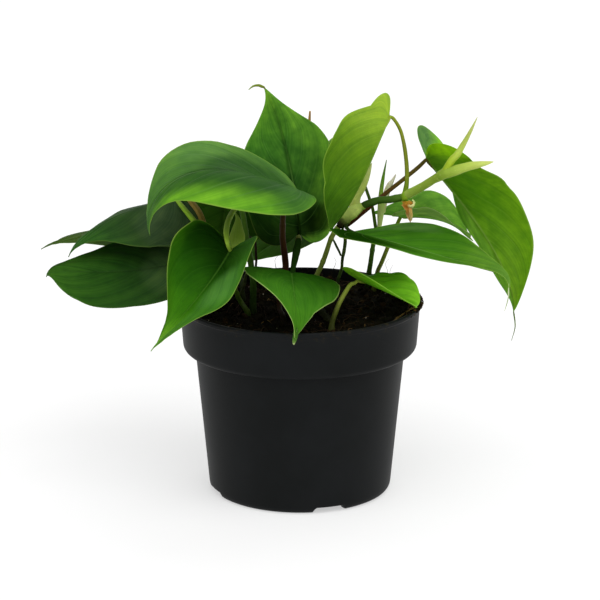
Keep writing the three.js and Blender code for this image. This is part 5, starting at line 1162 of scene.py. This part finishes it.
LOOK = {
    # leaf_01: the right margin colour and the third and fourth patches, on the upper half, are a painted highlight of
    # sheen; sd and sw widen and deepen the painted shade along the midrib
    "leaf_01": dict(slot="leaf_mid", gain=0.81, along=[(-0.2, G(60, 106, 42)), (0.1, G(50, 92, 34)), (0.45, G(46, 88, 30)), (0.75, G(62, 110, 38)), (1, G(76, 116, 50))],
                    right=(G(92, 140, 60), 0.85, 0.6, 1.0), left=(G(108, 170, 42), 1.0, 0.55, 0.95), vein=G(124, 162, 104), rib=0.8, rw=0.03, sd=0.25, sw=0.2, vw=0.07,
                    patches=[(-0.75, -0.06, 0.8, 0.17, G(60, 106, 40), 0.9), (-0.8, 0.98, 0.9, 0.2, G(70, 112, 48), 0.8), (0.5, 0.66, 0.5, 0.2, G(96, 146, 64), 0.55), (0.85, 0.46, 0.3, 0.14, G(104, 152, 74), 0.5)], spec=0.01, streak=0.4, pleat_shade=0.28, vv=0.15, mottle=0.3, ragged=0.12),
    # leaf_02: the near-black start of along and the first patch on the lobes are painted shade cast by leaf_01; sd
    # deepens the painted shade along the midrib; the pale left margin is partly the leaf's own paler margin and partly
    # painted light from the right
    "leaf_02": dict(slot="leaf_deep", gain=1.0, along=[(-0.2, G(17, 34, 9)), (0.06, G(28, 52, 14)), (0.25, G(42, 82, 26)), (0.5, G(58, 106, 35)), (0.75, G(68, 120, 34)), (1, G(102, 152, 42))],
                    left=(G(92, 144, 44), 0.9, 0.3, 0.9), vein=G(96, 140, 64), rib=0.6, far=0.15, vv=0.16, sd=0.4, cs=95.0, streak=0.4, spec=0.0, ev=0.2, mottle=0.5, pleat_shade=0.34,
                    patches=[(-0.6, 0.06, 0.5, 0.12, G(8, 20, 2), 0.85), (0.64, 0.4, 0.4, 0.12, G(30, 68, 18), 0.75)]),
    "leaf_03": dict(slot="leaf_light", gain=0.95, along=[(-0.2, G(152, 184, 58)), (0.08, G(138, 174, 48)), (0.25, G(97, 138, 26)), (0.5, G(82, 124, 16)), (0.75, G(62, 108, 13)), (1, G(72, 114, 26))],
                    vein=G(140, 176, 70), rib=0.3, um=0.0, streak=0.35, edge=G(150, 186, 70), vv=0.06, spec=0.06, cs=90.0),
    "leaf_04": dict(slot="leaf_dark", gain=1.75, along=[(-0.2, G(18, 34, 8)), (0.4, G(34, 60, 12)), (1, G(46, 82, 20))], vein=G(50, 76, 24), rib=0.2, spec=0.02, ev=0.5),
    # leaf_05: the pale left colour on the near half and the bright second patch on the front lobe are painted light
    # over parts that lie in shade
    "leaf_05": dict(slot="leaf_olive", shape=dict(wave=0.15), gain=0.98, along=[(-0.2, G(112, 164, 40)), (0.08, G(92, 146, 26)), (0.28, G(73, 130, 15)), (0.5, G(96, 150, 28)), (0.75, G(105, 153, 34)), (1, G(90, 130, 26))],
                    right=(G(98, 146, 22), 0.85, 0.5, 0.95), left=(G(114, 172, 50), 0.95, 0.15, 0.6), vein=G(134, 168, 76), rib=0.6, rw=0.05, spec=0.0, cs=110.0, mottle=0.3, pleat_shade=0.24,
                    patches=[(-0.7, -0.1, 0.7, 0.16, G(82, 122, 66), 0.9), (0.8, -0.14, 0.6, 0.16, G(156, 214, 26), 0.95)]),
    # leaf_06: the first, near-black patch on the near half is painted shade where that half turns down towards the
    # camera
    "leaf_06": dict(slot="leaf_deep", shape=dict(wave=0.2), gain=0.95, along=[(-0.2, G(60, 112, 29)), (0.15, G(68, 126, 30)), (0.45, G(71, 130, 28)), (0.7, G(72, 120, 28)), (1, G(112, 156, 60))], vein=G(140, 176, 100), rib=0.4, rw=0.06,
                    patches=[(0.6, 0.06, 0.65, 0.38, G(12, 44, 0), 0.95), (-0.88, 0.2, 0.14, 0.2, G(118, 156, 86), 0.4)], spec=0.0, pleat_shade=0.26),
    "leaf_07": dict(slot="leaf_deep", gain=1.0, along=[(-0.2, G(72, 118, 34)), (0.2, G(88, 138, 44)), (0.5, G(99, 150, 52)), (0.75, G(80, 128, 34)), (1, G(92, 142, 46))], right=(G(104, 144, 62), 0.8, 0.3, 0.7), vein=G(52, 86, 22), rib=0.5, rw=0.05, spec=0.0, cs=120.0, mottle=0.35, ev=0.35, edge=(190, 206, 140)),
    "leaf_08": dict(slot="leaf_mid", gain=0.95, along=[(-0.2, G(34, 82, 10)), (0.3, G(42, 92, 18)), (0.6, G(66, 124, 30)), (0.85, G(66, 122, 26)), (1, G(54, 98, 20))],
                    left=(G(70, 126, 32), 0.5, 0.6, 1.0), right=(G(70, 126, 32), 0.5, 0.6, 1.0), vein=G(96, 144, 56), rib=0.3, ev=0.8, spec=0.0, pleat_shade=0.12, edge=(170, 200, 110)),
    # leaf_09: the near-black start of along is painted shade at the base; the left colour and both patches, on the half
    # to the camera's right, are painted light from the right
    "leaf_09": dict(slot="leaf_mid", gain=0.95, along=[(-0.2, G(14, 40, 2)), (0.1, G(20, 54, 5)), (0.3, G(30, 76, 10)), (0.55, G(50, 106, 14)), (0.8, G(76, 137, 22)), (1, G(126, 180, 52))],
                    right=(G(46, 92, 8), 0.7, 0.75, 1.0), left=(G(62, 116, 34), 0.8, 0.25, 0.7), vein=G(84, 134, 46), rib=0.45,
                    patches=[(-0.55, 0.36, 0.4, 0.2, G(86, 140, 62), 0.5), (-0.5, 0.04, 0.5, 0.14, G(46, 92, 22), 0.75)], spec=0.008, pleat_shade=0.12, vv=0.07),
    "leaf_10": dict(slot="leaf_dark", gain=0.95, along=[(-0.2, G(46, 68, 34)), (0.4, G(44, 68, 33)), (0.7, G(42, 80, 28)), (1, G(48, 96, 30))], vein=G(66, 88, 54), rib=0.25, spec=0.01, streak=0.5, ev=0.12, pleat_shade=0.22, mottle=0.3, vv=0.05, patches=[(-0.6, 0.12, 0.6, 0.26, G(66, 88, 56), 0.75)]),
    "leaf_11": dict(slot="leaf_dark", gain=0.95, along=[(-0.2, G(36, 60, 14)), (1, G(58, 86, 18))], vein=G(60, 86, 32), rib=0.2, spec=0.02, ev=0.2),
    "leaf_12": dict(slot="leaf_dark", gain=0.95, along=[(-0.2, G(30, 54, 22)), (0.15, G(36, 62, 26)), (0.5, G(34, 72, 20)), (1, G(54, 96, 26))], right=(G(32, 58, 14), 0.7, 0.5, 0.95), vein=G(56, 84, 44), rib=0.25, spec=0.01, streak=0.5, ev=0.08, pleat_shade=0.26, mottle=0.3, vv=0.05, patches=[(-0.14, 0.1, 0.7, 0.17, G(66, 94, 50), 0.75)]),
    "leaf_13": dict(slot="leaf_light", shape=dict(ridge=0.15, wave=0.08), gain=1.5, along=[(-0.2, G(64, 118, 12)), (0.3, G(72, 134, 16)), (0.6, G(88, 148, 24)), (1, G(116, 172, 38))], vein=G(120, 166, 60), rib=0.4, spec=0.02, patches=[(0.75, 0.0, 0.6, 0.22, G(96, 140, 22), 0.6)]),
    "leaf_14": dict(slot="leaf_light", gain=0.95, along=[(-0.2, G(84, 128, 44)), (1, G(120, 160, 64))], vein=G(140, 176, 90), rib=0.3, spec=0.05),
    "leaf_15": dict(slot="leaf_dark", gain=2.4, along=[(-0.2, G(24, 46, 8)), (0.5, G(26, 48, 8)), (1, G(30, 56, 12))], vein=G(40, 64, 20), rib=0.25, spec=0.0, ev=0.8, edge=(54, 84, 24)),
}
# the blunt pale drip tip of the leaf that hangs over the front rim
p = LEAVES["leaf_08"]
fr8 = frames(p)
mid8 = [surface(p, np.array([0.0]), np.array([v]), 1, fr8)[0] for v in (0.88, 0.94, 0.985)]
d8 = unit(mid8[2] - mid8[1])
d8 = unit(d8 * 0.4 + np.array([-0.12, 0.0, -1.0]))
end8 = [(mid8[0], 0.5), (mid8[1], 1.2), (mid8[2], 1.2), (mid8[2] + d8 * 0.4, 1.12), (mid8[2] + d8 * 0.9, 0.95), (mid8[2] + d8 * 1.2, 0.5)]
C8, T8, _ = resample([q for q, _ in end8], 0.35)
R8 = np.interp(np.linspace(0, 1, len(C8)), np.linspace(0, 1, len(end8)), [r for _, r in end8])
V_, F_, A_ = sweep(C8, R8, 16, seed=8.0, rough=0.06)
place(new_object("leaf_08_drip", V_, F_, stalk_material("drip_tip", [(0, (44, 86, 16)), (0.7, (62, 102, 28)), (0.88, (108, 140, 62)), (1, (176, 190, 130))], (190, 204, 150), 0.2, soil=0.0), {"tb": A_}), "leaf_mid")

for name in sorted(LEAVES):
    q = dict(LOOK[name])
    leaf_object(name, leaf_material(name + "_green", q), q["slot"], **q.get("shape", {}))

# ---------------------------------------------------------------- stage, light, camera
def stage():
    n = Nodes("studio_floor")
    c = n.noise(n.obj(), 1.5, 2.0, 0.5)
    n.finish(n.mix((0.5, 0.5, 0.5), (0.52, 0.52, 0.52), c), 0.9, Specular_IOR_Level=0.1, Emission_Color=(1, 1, 1, 1), Emission_Strength=0.5)
    me = bpy.data.meshes.new("floor")
    k = 40
    g = np.linspace(-6, 6, k)
    X, Y = np.meshgrid(g, g, indexing="ij")
    me.from_pydata(np.stack([X, Y, 0 * X], -1).reshape(-1, 3).tolist(), [], grid_faces(k, k))
    me.materials.append(n.mat)
    ob = bpy.data.objects.new("floor", me)
    bpy.context.scene.collection.objects.link(ob)


stage()
sc = bpy.context.scene
sc.view_settings.view_transform = "Standard"
world = bpy.data.worlds.new("studio")
sc.world = world
world.use_nodes = True
world.node_tree.nodes["Background"].inputs[0].default_value = (1.0, 1.0, 1.0, 1)
world.node_tree.nodes["Background"].inputs[1].default_value = WORLD


def sun(name, azimuth, elevation, strength, angle, colour=(1, 1, 1)):
    """azimuth is where the light stands: 0 in front of the camera's side (-Y), 90 at +X"""
    d = bpy.data.lights.new(name, "SUN")
    d.energy, d.angle, d.color = strength, np.radians(angle), colour
    o = bpy.data.objects.new(name, d)
    a, e = np.radians(azimuth), np.radians(elevation)
    v = Vector((np.sin(a) * np.cos(e), -np.cos(a) * np.cos(e), np.sin(e)))
    o.rotation_euler = v.to_track_quat("Z", "Y").to_euler()
    bpy.context.scene.collection.objects.link(o)


for args in SUNS:
    sun(*args)

cam = bpy.data.cameras.new("camera")
cam.sensor_width, cam.lens = 36.0, 3248.0 / 600 * 36.0
cam.clip_start, cam.clip_end = 0.05, 50
co = bpy.data.objects.new("camera", cam)
e = np.radians(16.0)
co.location = (0, -1.6 * np.cos(e), 0.096 + 1.6 * np.sin(e))
co.rotation_euler = (np.radians(74.0), 0, 0)
sc.collection.objects.link(co)
sc.camera = co
